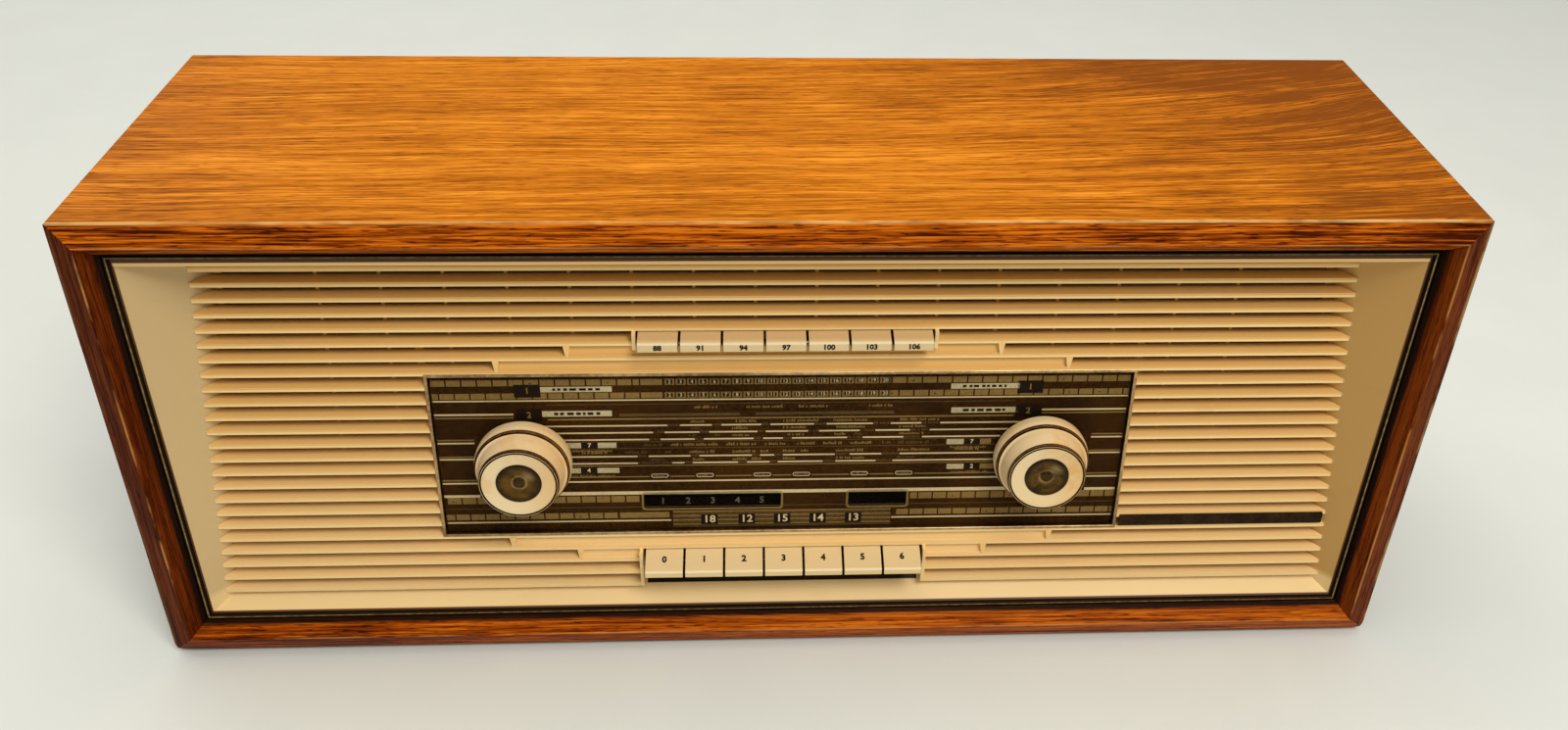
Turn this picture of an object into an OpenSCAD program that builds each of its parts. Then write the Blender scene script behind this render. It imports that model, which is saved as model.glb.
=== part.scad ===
// Table radio with valves: wooden cabinet, cream louvred front, glass dial,
// two rows of keys and two double knobs.
// +X is to the viewer's right, -Y is the front, +Z is up. The origin is the middle of the footprint.

/* [Cabinet] */
// Width of the cabinet over its side boards
cabinet_w = 650; // [600:5:760]
// Height of the wooden cabinet without its feet
cabinet_h = 266; // [262:1:300]
// Depth of the cabinet from its front arris to its rear edge
cabinet_d = 185; // [183:1:240]
// Thickness of the cabinet boards
board_t = 11; // [9:0.5:12]
// Radius of the cabinet's lower outer corners
corner_r = 5; // [2:0.5:8]
// Radius of the cabinet's upper outer corners
top_corner_r = 1.5; // [0.5:0.5:4]
// How far the outer front edge lies behind the inner arris
edge_setback = 4.6; // [1:0.2:7]
// Width of the splay between the arris and the trim
splay_w = 7.5; // [6:0.5:9]
// Depth of that splay
splay_d = 7.4; // [6:0.2:8.6]
// Depth of the solid front lipping behind the arris
lipping_d = 16; // [14:0.5:20]
// Height of the feet
foot_h = 3; // [1:0.5:10]
// Radius of a foot
foot_r = 10; // [6:1:14]
// Distance of each foot from the ends of the cabinet
foot_inset = 40; // [25:1:80]

/* [Front] */
// Width of the dark and brass trim around the front moulding
trim_w = 3.2; // [2.6:0.1:4]
// Width of the brass bead in that trim
bead_w = 1.2; // [0.8:0.1:1.6]
// Depth of the cream rim behind the end of the splay
rim_recess = 1.6; // [1:0.1:2.4]
// Wall thickness of the cream surround
surround_wall = 2.6; // [1.8:0.1:3.2]
// Height of the flat upper rim of the surround
top_rim_h = 3.8; // [2.5:0.1:5]
// Rise of the sill for each millimetre of depth
sill_slope = 0.64; // [0.5:0.02:0.66]
// Angle at which the louvres lean back
front_tilt = 4.56; // [3.5:0.1:5.5]
// Depth of the lowest louvre lip behind the arris
lip_recess = 15.2; // [14.5:0.1:17]
// Height of the lowest louvre lip above the cabinet's underside
lip_rise = 31.8; // [31.4:0.1:34]
// Distance between louvres
louvre_pitch = 8.42; // [8.2:0.02:8.6]
// Height of a louvre's front lip
lip_h = 2.5; // [1.8:0.1:3]
// Depth of a louvre
louvre_d = 7.5; // [6:0.1:7.8]
// Rise of a louvre from its lip to its rear edge
louvre_rise = 1.2; // [0.4:0.1:1.6]
// Thickness of a louvre
louvre_t = 1.8; // [1.4:0.1:2.2]
// Distance between the upright ribs behind the louvres
rib_pitch = 30; // [24:1:40]
// Thickness of the upright ribs
rib_t = 1.6; // [1.2:0.1:2.4]
// Thickness of the loudspeaker cloth
cloth_t = 0.5; // [0.3:0.1:0.8]
// Thickness of the baffle board
baffle_t = 6; // [4:0.5:8]

/* [Dial] */
// Width of the dial over its rim
dial_w = 357.2; // [345:0.2:360]
// Width of the dial rim outside the glass
rim_w = 1; // [0.8:0.1:1.6]
// How far the rim laps over the glass
rim_lap = 0.6; // [0.4:0.1:1]
// How far the rim reaches over the louvres above and below it
rim_overlap = 0.9; // [0.2:0.1:1.1]
// Thickness of the dial glass
glass_t = 2; // [2:0.5:3]
// Depth of the glass behind the louvre lips
glass_recess = 1; // [0.8:0.1:1.6]
// Thickness of the dial plate
plate_t = 1.2; // [0.8:0.1:1.6]
// Distance of each knob from the middle of the dial
knob_x = 133; // [131:0.5:136]
// How far the knobs sit below the middle of the dial
knob_drop = 2; // [0:0.5:3]
// Travel of the AM pointer to each side
am_travel = 100; // [60:1:102]
// Travel of the FM pointer to each side
fm_travel = 60; // [40:1:102]

/* [Keys] */
// Distance between station keys
station_pitch = 20.9; // [18:0.1:20.9]
// Distance between band keys
band_pitch = 21.1; // [18:0.1:21.1]
// Gap between two keys
key_gap = 1; // [0.6:0.1:2]
// How far a station key stands out of the louvres
station_reach = 8; // [5:0.5:9]
// How far a band key stands out of the louvres
band_reach = 12; // [8:0.5:13]
// Radius of the axle that a row of keys turns on
axle_r = 1.5; // [1:0.1:2]
// Clearance of each turning or sliding fit
run_fit = 0.06; // [0.03:0.01:0.1]

/* [Knobs] */
// Largest radius of the outer rings
ring_r = 24.6; // [22:0.2:27]
// Front radius of the inner knobs
knob_r = 19.9; // [17:0.1:21]
// Radius of the bronze caps
cap_r = 11.3; // [8:0.1:13]
// Height of the outer rings above the louvre lips
ring_h = 9.3; // [7:0.1:10]
// Height of the inner knobs above the louvre lips
knob_h = 20.2; // [17:0.1:20.6]
// Radius of the inner spindles
spindle_r = 3; // [2:0.1:3.4]
// Radius of the outer hollow spindles
hub_r = 5; // [4.4:0.1:5.4]

/* [Inside] */
// Width of the chassis
chassis_w = 370; // [360:1:374]
// Depth of the chassis
chassis_d = 93; // [92:1:94]
// Height of the chassis
chassis_h = 48; // [44:1:50]
// Thickness of the chassis sheet
sheet_t = 1.2; // [0.8:0.1:2]
// Distance of each loudspeaker from the middle
speaker_x = 236; // [235:1:238]
// Radius of a loudspeaker's flange
speaker_r = 50; // [44:1:51]
// Thickness of the rear cover
back_t = 3; // [2:0.5:4]
// Depth of the rear cover inside the cabinet's rear edge
back_recess = 8; // [5:0.5:12]
// Radius of the aerial and earth sockets
socket_r = 2; // [1.5:0.1:2.5]
// Length of the aerial and earth sockets
socket_l = 8; // [6:0.5:10]
// Bore of the mains lead's grommet
grommet_r = 3.5; // [2.5:0.1:4.5]

/* [Hidden] */
$fn = 64;

far = 1000;
front_y = -cabinet_d / 2;
rear_y = cabinet_d / 2;
floor_z = foot_h + board_t;
ceiling_z = foot_h + cabinet_h - board_t;
inner_x = cabinet_w / 2 - board_t;

// Trim and cream surround, all at insets from the cabinet's outer faces
trim_in = board_t + splay_w;
cream_in = trim_in + trim_w;
trim_y = front_y + splay_d;
liner_y = trim_y + 1.5;
cream_y = trim_y + rim_recess;
cream_x = cabinet_w / 2 - cream_in;
sill_z = foot_h + cream_in;
rim_z = foot_h + cabinet_h - cream_in;

// Planes of the leaning front, as depths behind the louvre lips
cloth_y = 11.5;
baffle_y = cloth_y + cloth_t;
baffle_back = baffle_y + baffle_t;
lip_y = front_y + lip_recess;
lip_z = foot_h + lip_rise;
ceiling_v = (rim_z - 6 - lip_z) / cos(front_tilt);
louvre_count = floor((ceiling_v - lip_h) / louvre_pitch) + 1;
function row_v(i) = i * louvre_pitch;

// Rows that the dial, the closed steps and the keys take up
key_count = 7;
dial_rows = 12;
dial_row = 4;
dial_top_row = dial_row + dial_rows;
station_row = dial_top_row + 2;
dial_lo = row_v(dial_row) + lip_h / 2 - rim_overlap;
dial_hi = row_v(dial_top_row) - lip_h / 2 + rim_overlap;
knob_v = (dial_lo + dial_hi) / 2 - knob_drop;
opening_x = dial_w / 2;
step_x = [opening_x - 35, opening_x - 70];
fin_t = 1.8;
key_row_x = station_pitch * key_count / 2 + 0.5;
band_row_x = band_pitch * key_count / 2 + 0.8;
centre_x = opening_x + 4.4;
centre_lo = 0;
centre_hi = row_v(station_row + 1) + 4;

// Dial plate, its controls and its cords
plate_y = cloth_y;
plate_back = plate_y + plate_t;
plate_lo = dial_lo + 1;
plate_hi = dial_hi - 1.4;
bush_y = plate_back + 2.3;
am_drum_y = 17;
cap_drum_y = 20.6;
fm_drum_y = 26;
hub_end = 22.4;
drum_r = 10;
cap_hub_r = 5.8;
am_turn = am_travel / drum_r;
cap_drum_r = cap_hub_r * am_turn / (PI / 2);
cap_x = 55;
cord_r = 0.4;
cord_gap = 0.3;
pulley_r = 3.5;
pulley_pin_r = 1;
pulley_x = -150;
rail_r = 1.5;
function rail_off(up) = (up > 0 ? dial_hi - knob_v : knob_v - dial_lo) + 4;
function plate_edge(up) = up > 0 ? plate_hi - knob_v : knob_v - plate_lo;
needle_y = 8.6;

// Keys
pivot_y = 40;
station_pivot = row_v(station_row) + 1.5;
station_floor = row_v(station_row) - 3.1;
band_pivot = 19;
eye_r = 4.5;
frame_x = band_row_x + 2;
frame_end = 56;

// Inside
chassis_y = rear_y - back_recess - back_t - 3.5 - chassis_d;
chassis_back = chassis_y + chassis_d;
tuner_y = chassis_y + 3;
fm_spindle_end = (tuner_y + 6 - lip_y - knob_v * sin(front_tilt)) / cos(front_tilt);
cap_from = 24;
cap_to = 56;
cap_back_y = lip_y + (cap_to - 1) * cos(front_tilt) + (knob_v - 24) * sin(front_tilt);
chassis_top = floor_z + chassis_h;
back_y = rear_y - back_recess - back_t;
batten = 12;
screw_x = inner_x - batten / 2;
screw_zs = [floor_z + 20, (floor_z + ceiling_z) / 2, ceiling_z - 20];
screw_r = 1.9;
speaker_v = row_v(12) + 2;
basket_d = 22;
magnet_r = 26;
magnet_d = 20;
socket_z = floor_z + 21;
valve_places = [[-78, 28, 11, 66], [-40, 62, 10, 52], [-4, 30, 10, 52],
  [28, 66, 10, 56], [88, 66, 9, 46], [-66, 68, 11, 60]];
mains_core = [78, 64, 68];
mains_place = [-140, 44];
output_core = [50, 32, 42];
output_place = [141, 73];
can_places = [[-8, 80], [60, 30]];
can_w = 22;
can_h = 54;
smoothing_place = [60, 76];
smoothing_r = 13;
smoothing_h = 70;
tuner_l = 51;
tuner_h = 64;
rod_drop = 16;
rod_r = 5;
coil_r = 8;
socket_x = [-150, -131, -112, -93];
slot_w = 60;
slot_h = 4;

// Puts its children on the leaning front: x along, y inward from the lips, z up the louvres
module front() {
  translate([0, lip_y, lip_z]) rotate([-front_tilt, 0, 0]) children();
}

// Puts its children on an axis that stands out of the leaning front
module on_front(x, v) {
  front() translate([x, 0, v]) rotate([90, 0, 0]) children();
}

// Extrudes an outline drawn as depth and height along X, from the middle outward
module along_x(length) {
  rotate([90, 0, 90]) linear_extrude(length, center = true) children();
}

module block(lo, hi) {
  translate(lo) cube(hi - lo);
}

module in_pairs() {
  children();
  mirror([1, 0, 0]) children();
}

// A tube or stepped disc between two heights, for shafts, drums and rings
module ring_solid(r_out, r_in, from, to) {
  difference() {
    translate([0, 0, from]) cylinder(r = r_out, h = to - from);
    translate([0, 0, from - 1]) cylinder(r = r_in, h = to - from + 2);
  }
}

// One mitred board with its bevelled, splayed front lipping, outer face down
module board(length) {
  inner = board_t + splay_w;
  intersection() {
    along_x(length) polygon([[front_y + edge_setback, 0], [front_y, board_t], [front_y + splay_d, inner],
      [front_y + lipping_d, inner], [front_y + lipping_d, board_t], [rear_y, board_t], [rear_y, 0]]);
    rotate([90, 0, 0]) linear_extrude(far, center = true)
      polygon([[-length / 2, 0], [length / 2, 0], [length / 2 - inner, inner], [inner - length / 2, inner]]);
  }
}

module rounded_block(w, h, low, high) {
  rotate([90, 0, 0]) linear_extrude(far, center = true) {
    translate([low - w / 2, 0]) square([w - 2 * low, h - high]);
    translate([high - w / 2, low]) square([w - 2 * high, h - low]);
    translate([-w / 2, low]) square([w, h - low - high]);
    for (side = [-1, 1]) {
      translate([side * (w / 2 - low), low]) circle(low);
      translate([side * (w / 2 - high), h - high]) circle(high);
    }
  }
}

module rounded_cabinet() {
  intersection() {
    children();
    translate([0, 0, foot_h]) rounded_block(cabinet_w, cabinet_h, corner_r, top_corner_r);
  }
}

module cabinet_bottom() {
  color("saddlebrown") rounded_cabinet() translate([0, 0, foot_h]) board(cabinet_w);
}

module cabinet_top() {
  color("peru") rounded_cabinet() translate([0, 0, foot_h + cabinet_h]) mirror([0, 0, 1]) board(cabinet_w);
}

module cabinet_left_side() {
  color("saddlebrown") rounded_cabinet()
    translate([-cabinet_w / 2, 0, foot_h + cabinet_h / 2]) rotate([0, 90, 0]) board(cabinet_h);
}

module cabinet_right_side() {
  color("saddlebrown") mirror([1, 0, 0]) cabinet_left_side();
}

// Rear battens that take the cover's screws, and corner blocks in front of them
module glue_blocks() {
  block_len = 60;
  color("burlywood") in_pairs() {
    difference() {
      block([inner_x - batten, back_y - batten, floor_z], [inner_x, back_y, ceiling_z]);
      for (z = screw_zs) translate([screw_x, back_y + 1, z]) rotate([90, 0, 0])
        cylinder(r = screw_r + 0.05, h = 10);
    }
    for (top = [0, 1])
      translate([inner_x, back_y - batten - 8, top ? ceiling_z : floor_z]) mirror([0, 0, top])
        rotate([90, 0, 0]) linear_extrude(block_len) polygon([[0, 0], [-batten, 0], [0, batten]]);
  }
}

module feet() {
  color("dimgray") in_pairs() for (y = [-1, 1])
    translate([cabinet_w / 2 - foot_inset, y * (cabinet_d / 2 - foot_inset / 2 - foot_r / 2), 0])
      cylinder(r = foot_r, h = foot_h);
}

// A rectangular ring at two insets from the cabinet's faces
module inset_ring(outer, inner, from, to) {
  difference() {
    block([outer - cabinet_w / 2, from, foot_h + outer],
      [cabinet_w / 2 - outer, to, foot_h + cabinet_h - outer]);
    block([inner - cabinet_w / 2, from - 1, foot_h + inner],
      [cabinet_w / 2 - inner, to + 1, foot_h + cabinet_h - inner]);
  }
}

module trim_bead() {
  bead_in = trim_in + (trim_w - bead_w) / 2;
  color("goldenrod") inset_ring(bead_in, bead_in + bead_w, trim_y, liner_y);
}

module trim_liner() {
  color("black") inset_ring(trim_in, cream_in, liner_y, front_y + lipping_d - 2);
}

module before_cloth() {
  intersection() {
    children();
    front() block([-far, -far, -far], [far, cloth_y, far]);
  }
}

// The cream frame: flared cheeks, rising sill and upper rim
module front_surround() {
  reach = 60;
  wall = surround_wall * sqrt(2);
  color("wheat") before_cloth() {
    in_pairs() translate([0, 0, sill_z]) linear_extrude(rim_z - sill_z)
      polygon([[cream_x, cream_y], [cream_x - reach, cream_y + reach],
        [cream_x - reach + wall, cream_y + reach], [cream_x, cream_y + wall]]);
    along_x(2 * cream_x) polygon([[cream_y, sill_z], [cream_y + reach, sill_z + reach * sill_slope],
      [cream_y + reach, sill_z + reach * sill_slope - wall], [cream_y + wall, sill_z]]);
    along_x(2 * cream_x) polygon([[cream_y, rim_z], [cream_y, rim_z - top_rim_h],
      [cream_y + reach, rim_z - 6], [cream_y + reach, rim_z - 6 + surround_wall], [cream_y + 8, rim_z]]);
  }
}

// Keeps what lies between the two flared cheeks and above the sill
module inside_surround() {
  reach = 60;
  intersection() {
    children();
    linear_extrude(far) polygon([[-cream_x, cream_y], [cream_x, cream_y],
      [cream_x - reach, cream_y + reach], [reach - cream_x, cream_y + reach]]);
    along_x(2 * cream_x) polygon([[cream_y, sill_z], [cream_y + reach, sill_z + reach * sill_slope],
      [cream_y + reach, far], [cream_y, far]]);
  }
}

module louvre_outline(i) {
  polygon([[0, row_v(i) - lip_h / 2], [0, row_v(i) + lip_h / 2], [louvre_d, row_v(i) + lip_h / 2 + louvre_rise],
    [louvre_d, row_v(i) + lip_h / 2 + louvre_rise - louvre_t], [louvre_t, row_v(i) - lip_h / 2]]);
}

// A closed stretch between two louvres, as the steps beside the keys have it
module closed_row(i, half) {
  lo = row_v(i) + lip_h / 2 - 0.4;
  hi = row_v(i + 1) - lip_h / 2 + 0.4;
  along_x(2 * half) polygon([[1.2, lo], [2.8, hi], [4.6, hi], [3, lo]]);
  in_pairs() block([half - fin_t, 0, lo], [half, louvre_d - 1, hi]);
}

module key_bracket(x, lo, hi, out) {
  in_pairs() translate([x + fin_t / 2, 0, 0])
    along_x(fin_t) polygon([[-out, hi], [-out * 0.4, lo], [louvre_d, lo], [louvre_d, hi]]);
}

module louvre_grille() {
  top_v = row_v(louvre_count - 1);
  rib_n = floor((cream_x - 40) / rib_pitch);
  color("wheat") inside_surround() front() {
    difference() {
      union() {
        for (i = [0 : louvre_count - 1]) along_x(2 * cream_x) louvre_outline(i);
        in_pairs() for (k = [0.5 : rib_n])
          block([k * rib_pitch - rib_t / 2, louvre_d - 1.2, 0],
            [k * rib_pitch + rib_t / 2, cloth_y, top_v + 2]);
        closed_row(dial_top_row, step_x[0]);
        closed_row(dial_top_row + 1, step_x[1]);
        closed_row(dial_row - 1, step_x[0]);
        closed_row(dial_row - 2, step_x[1]);
      }
      block([-opening_x, -1, dial_lo], [opening_x, cloth_y + 1, dial_hi]);
      block([-key_row_x, -1, station_floor], [key_row_x, cloth_y + 1, row_v(station_row + 1) - lip_h / 2]);
      block([-band_row_x, -1, -far], [band_row_x, cloth_y + 1, row_v(3) - lip_h / 2]);
      block([-am_travel - 14, louvre_d + 0.1, row_v(2)], [am_travel + 14, cloth_y + 1, row_v(station_row) - 4]);
    }
    in_pairs() block([opening_x, louvre_d - 1.2, row_v(2)], [centre_x - 0.6, cloth_y, row_v(station_row)]);
    key_bracket(key_row_x, station_floor, row_v(station_row + 1) - 1, 3);
    key_bracket(band_row_x, 0.6, row_v(3) - 1, 5);
  }
}

// The opening in the cloth and the baffle behind the dial and the keys
module centre_opening() {
  block([-centre_x, -far, centre_lo], [centre_x, far, centre_hi]);
}

module speaker_cloth() {
  half = cream_x - 8;
  color("black") front() difference() {
    block([-half, cloth_y, -8], [half, baffle_y, ceiling_v + 4]);
    centre_opening();
  }
}

module baffle_board() {
  half = inner_x - 0.3;
  lean = sin(front_tilt);
  low = (floor_z + 0.3 - lip_z + baffle_back * lean) / cos(front_tilt);
  high = (ceiling_z - 0.3 - lip_z + baffle_y * lean) / cos(front_tilt);
  color("tan") front() difference() {
    block([-half, baffle_y, low], [half, baffle_back, high]);
    centre_opening();
    in_pairs() translate([speaker_x, baffle_back + 1, speaker_v]) rotate([90, 0, 0])
      cylinder(r = speaker_r - 7, h = baffle_t + 2);
  }
}

module dial_rim() {
  color("darkgoldenrod") front() difference() {
    block([-opening_x, -0.4, dial_lo], [opening_x, 7, dial_hi]);
    block([rim_w - opening_x, glass_recess, dial_lo + rim_w], [opening_x - rim_w, 8, dial_hi - rim_w]);
    block([rim_w + rim_lap - opening_x, -1, dial_lo + rim_w + rim_lap],
      [opening_x - rim_w - rim_lap, 8, dial_hi - rim_w - rim_lap]);
  }
}

module dial_glass() {
  color("darkslategray") front() difference() {
    block([rim_w - opening_x, glass_recess, dial_lo + rim_w],
      [opening_x - rim_w, glass_recess + glass_t, dial_hi - rim_w]);
    in_pairs() translate([knob_x, 9, knob_v]) rotate([90, 0, 0]) cylinder(r = hub_r + 3, h = 12);
  }
}

// Steel plate behind the glass: it carries the controls, the rails and the guide pins
module dial_plate() {
  color("gray") front() {
    difference() {
      block([-centre_x + 0.6, plate_y, plate_lo], [centre_x - 0.6, plate_back, plate_hi]);
      in_pairs() translate([knob_x, plate_back + 1, knob_v]) rotate([90, 0, 0])
        cylinder(r = 7.6, h = plate_t + 2);
    }
    translate([knob_x, 0, knob_v]) rotate([90, 0, 0]) ring_solid(7.6, hub_r + run_fit, -bush_y, -8);
    guide_pins(-1, am_drum_y);
    guide_pins(1, fm_drum_y);
  }
}

// Two fixed pins that turn a cord from the drum into the pointer's run, and the pin of its end pulley
module guide_pins(up, plane) {
  guide_r = pulley_r - cord_r - cord_gap;
  edge = plate_edge(up) - 1;
  rail = rail_off(up);
  translate([0, 0, knob_v]) mirror([0, 0, up < 0 ? 1 : 0])
    for (p = [[knob_x + drum_r - pulley_r, rail, guide_r],
        [knob_x - drum_r - pulley_r, rail - 2 * pulley_r, guide_r], [pulley_x, rail, pulley_pin_r]]) {
      translate([p[0], plane + 2, p[1]]) rotate([90, 0, 0]) cylinder(r = p[2], h = plane + 2.4 - plate_back);
      if (p[1] > edge) block([p[0] - 2.6, plate_y, edge], [p[0] + 2.6, plate_back, p[1] + 2.6]);
    }
}

module dark_strip() {
  color("black") front() block([opening_x + 1.5, -1.2, row_v(dial_row) + 2.3],
    [cream_x - 12, 0, row_v(dial_row + 1) + 0.5]);
}

// A key: sloped cap, arm and the eye that turns on the row's axle
module key(x, width, reach, bottom, ridge, top, pivot) {
  color("cornsilk") front() translate([x, 0, 0]) difference() {
    union() {
      along_x(width)
        polygon([[-reach, bottom], [-reach, ridge], [0, top], [9, top], [9, pivot - 2], [0, bottom]]);
      block([-1.6, 6, pivot - 2.5], [1.6, pivot_y + 8, pivot + 2.5]);
      translate([0, pivot_y, pivot]) rotate([0, 90, 0]) cylinder(r = eye_r, h = 8, center = true);
    }
    translate([0, pivot_y, pivot]) rotate([0, 90, 0]) cylinder(r = axle_r + run_fit, h = 20, center = true);
  }
}

module station_key(n) {
  v = row_v(station_row);
  key((n - (key_count + 1) / 2) * station_pitch, station_pitch - key_gap, station_reach,
    v - 0.2, v + 4.4, v + 6.5, station_pivot);
}

module band_key(n) {
  key((n - (key_count + 1) / 2) * band_pitch, band_pitch - key_gap, band_reach, 14.4, 17.9, 23.2, band_pivot);
}

// Folded frame of one row: cheeks, rear web, front flange against the baffle, and the axle
module key_frame(pivot, up) {
  front() translate([0, 0, pivot]) mirror([0, 0, up ? 0 : 1]) {
    flange = up ? centre_hi - pivot : pivot - centre_lo;
    in_pairs() block([frame_x, baffle_back, -8], [frame_x + sheet_t, frame_end, flange + 8]);
    block([-frame_x, frame_end - sheet_t, -8], [frame_x, frame_end, 8]);
    block([-frame_x, baffle_back, flange + 0.4], [frame_x, baffle_back + sheet_t, flange + 8]);
    rotate([0, 90, 0]) translate([0, pivot_y, 0])
      cylinder(r = axle_r, h = 2 * frame_x + sheet_t, center = true);
  }
}

module key_frames() {
  color("silver") {
    key_frame(station_pivot, true);
    key_frame(band_pivot, false);
  }
}

// Two combs of spring fingers, one finger below each arm
module key_springs() {
  color("orange") front() for (row = [[station_pivot, station_pitch], [band_pivot, band_pitch]]) {
    under = row[0] - eye_r - 1.1;
    block([-row[1] * key_count / 2, frame_end - sheet_t - 1, under],
      [row[1] * key_count / 2, frame_end - sheet_t, row[0] + 6]);
    for (n = [0 : key_count - 1]) translate([(n - (key_count - 1) / 2) * row[1], 0, 0])
      block([-2, 30, under], [2, frame_end - sheet_t, under + 0.5]);
  }
}

module outer_ring(hub_to) {
  difference() {
    union() {
      rotate_extrude() polygon([[0, -1], [ring_r - 1.2, -1], [ring_r - 0.2, 0.4], [ring_r, 2.4], [ring_r, 4.6],
        [ring_r - 0.4, 6.2], [ring_r - 1.6, ring_h], [ring_r - 3, ring_h + 0.3], [0, ring_h + 0.3]]);
      translate([0, 0, -hub_to]) cylinder(r = hub_r, h = hub_to);
    }
    translate([0, 0, -hub_to - 1]) cylinder(r = spindle_r + run_fit, h = hub_to + ring_h + 4);
  }
}

module inner_knob() {
  base = ring_h + 0.6;
  difference() {
    rotate_extrude() polygon([[0, base], [knob_r + 1.9, base], [knob_r + 1.8, base + 2], [knob_r, knob_h - 1],
      [knob_r - 0.5, knob_h], [knob_r - 1.4, knob_h - 0.2], [cap_r + 0.1, knob_h - 1.2],
      [cap_r + 0.1, knob_h - 2.6], [0, knob_h - 2.6]]);
    translate([0, 0, base - 1]) cylinder(r = spindle_r + 0.02, h = 8);
  }
}

module knob_cap() {
  color("saddlebrown") rotate_extrude() polygon([[0, knob_h - 2.6], [cap_r, knob_h - 2.6], [cap_r, knob_h - 0.9],
    [cap_r - 0.8, knob_h - 0.6], [3.2, knob_h - 1.9], [2, knob_h - 1.2], [0, knob_h - 0.9]]);
}

module spindle(to) {
  translate([0, 0, -to]) cylinder(r = spindle_r, h = to + ring_h + 6);
}

// A grooved drum whose cord runs at a given radius
module drum(r, plane, wide) {
  groove = r - cord_r - cord_gap;
  rotate_extrude() polygon([[0, -plane - wide], [r + 1, -plane - wide], [r + 1, -plane - 0.9], [groove, -plane - 0.7],
    [groove, -plane + 0.7], [r + 1, -plane + 0.9], [r + 1, -plane + wide], [0, -plane + wide]]);
}

module volume_knob() {
  color("wheat") on_front(-knob_x, knob_v) inner_knob();
}

module volume_cap() {
  on_front(-knob_x, knob_v) knob_cap();
}

module volume_spindle() {
  color("silver") on_front(-knob_x, knob_v) spindle(38);
}

module tone_ring() {
  color("cornsilk") on_front(-knob_x, knob_v) outer_ring(28);
}

module fm_knob() {
  color("wheat") on_front(knob_x, knob_v) inner_knob();
}

module fm_cap() {
  on_front(knob_x, knob_v) knob_cap();
}

module fm_spindle() {
  color("silver") on_front(knob_x, knob_v) {
    spindle(fm_spindle_end);
    drum(drum_r, fm_drum_y, 2);
  }
}

module am_ring() {
  color("cornsilk") on_front(knob_x, knob_v) {
    outer_ring(hub_end);
    difference() {
      union() {
        drum(drum_r, am_drum_y, 1.5);
        drum(cap_hub_r, cap_drum_y, 1.6);
      }
      translate([0, 0, -40]) cylinder(r = hub_r - 0.5, h = 40);
    }
  }
}

// Double potentiometer with its bush and nut, on the dial plate
module control_pot() {
  color("dimgray") on_front(-knob_x, knob_v) difference() {
    union() {
      translate([0, 0, -40]) cylinder(r = 14, h = 40 - plate_back);
      translate([0, 0, -plate_back - 1]) cylinder(r = 7.5, h = plate_back - 7);
      translate([0, 0, -plate_y]) cylinder(r = 9.5, h = 2.4, $fn = 6);
    }
    translate([0, 0, -28.5]) cylinder(r = hub_r + run_fit, h = 40);
    translate([0, 0, -38.5]) cylinder(r = spindle_r + run_fit, h = 40);
  }
}

// Capacitor frame with its fixed plates, on a shelf and a bracket from the chassis
module tuning_capacitor() {
  color("silver") difference() {
    union() {
      front() translate([cap_x, 0, knob_v]) {
        for (y = [cap_from, cap_to - 2]) block([-20, y, -24], [20, y + 2, 20]);
        for (x = [-20, 18]) block([x, cap_from, -24], [x + 2, cap_to, -4]);
        for (n = [0 : 5]) block([-19, cap_from + 5 + n * 4, -22], [19, cap_from + 6 + n * 4, -5]);
      }
      intersection() {
        block([cap_x - 14, chassis_y, chassis_top], [cap_x + 14, chassis_y + 3, far]);
        front() block([-far, -far, -far], [far, far, knob_v - 20]);
      }
      intersection() {
        block([cap_x - 14, min(cap_back_y, chassis_y) - 12, chassis_top], [cap_x + 14, chassis_y + 3, far]);
        front() block([-far, cap_from + 2, knob_v - 24], [far, far, knob_v - 22]);
      }
    }
    front() translate([cap_x, 0, knob_v]) rotate([90, 0, 0]) translate([0, 0, -cap_to - 1])
      cylinder(r = spindle_r + run_fit, h = cap_to);
  }
}

module capacitor_rotor() {
  color("gold") on_front(cap_x, knob_v) {
    drum(cap_drum_r, cap_drum_y, 1.4);
    translate([0, 0, -58]) cylinder(r = spindle_r, h = 40);
    for (n = [0 : 4]) translate([0, 0, -32.6 - n * 4]) intersection() {
      cylinder(r = 16, h = 1);
      block([0, -20, -1], [20, 20, 2]);
    }
  }
}

// A pointer: carriage on its rail beside the strand that moves it, foot around the plate's edge, and the needle
module pointer(up, plane, needle_to) {
  grip = pulley_r - cord_r - cord_gap;
  low = up < 0 ? grip : 2.5;
  high = up < 0 ? 2.5 : grip;
  rail = rail_off(up);
  front() translate([0, 0, knob_v]) mirror([0, 0, up < 0 ? 1 : 0]) {
    difference() {
      block([-4, plane - 2.5, rail - low], [4, plane + 2.5, rail + high]);
      translate([0, plane, rail]) rotate([0, 90, 0]) cylinder(r = rail_r + run_fit, h = 20, center = true);
    }
    block([-1.5, needle_y, rail - 2.5], [1.5, plane - 2.5, rail - 0.5]);
    block([-0.6, needle_y, needle_to], [0.6, needle_y + 0.8, rail - 0.5]);
  }
}

module am_pointer() {
  color("red") pointer(-1, am_drum_y, -16);
}

module fm_pointer() {
  color("red") pointer(1, fm_drum_y, 20);
}

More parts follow.
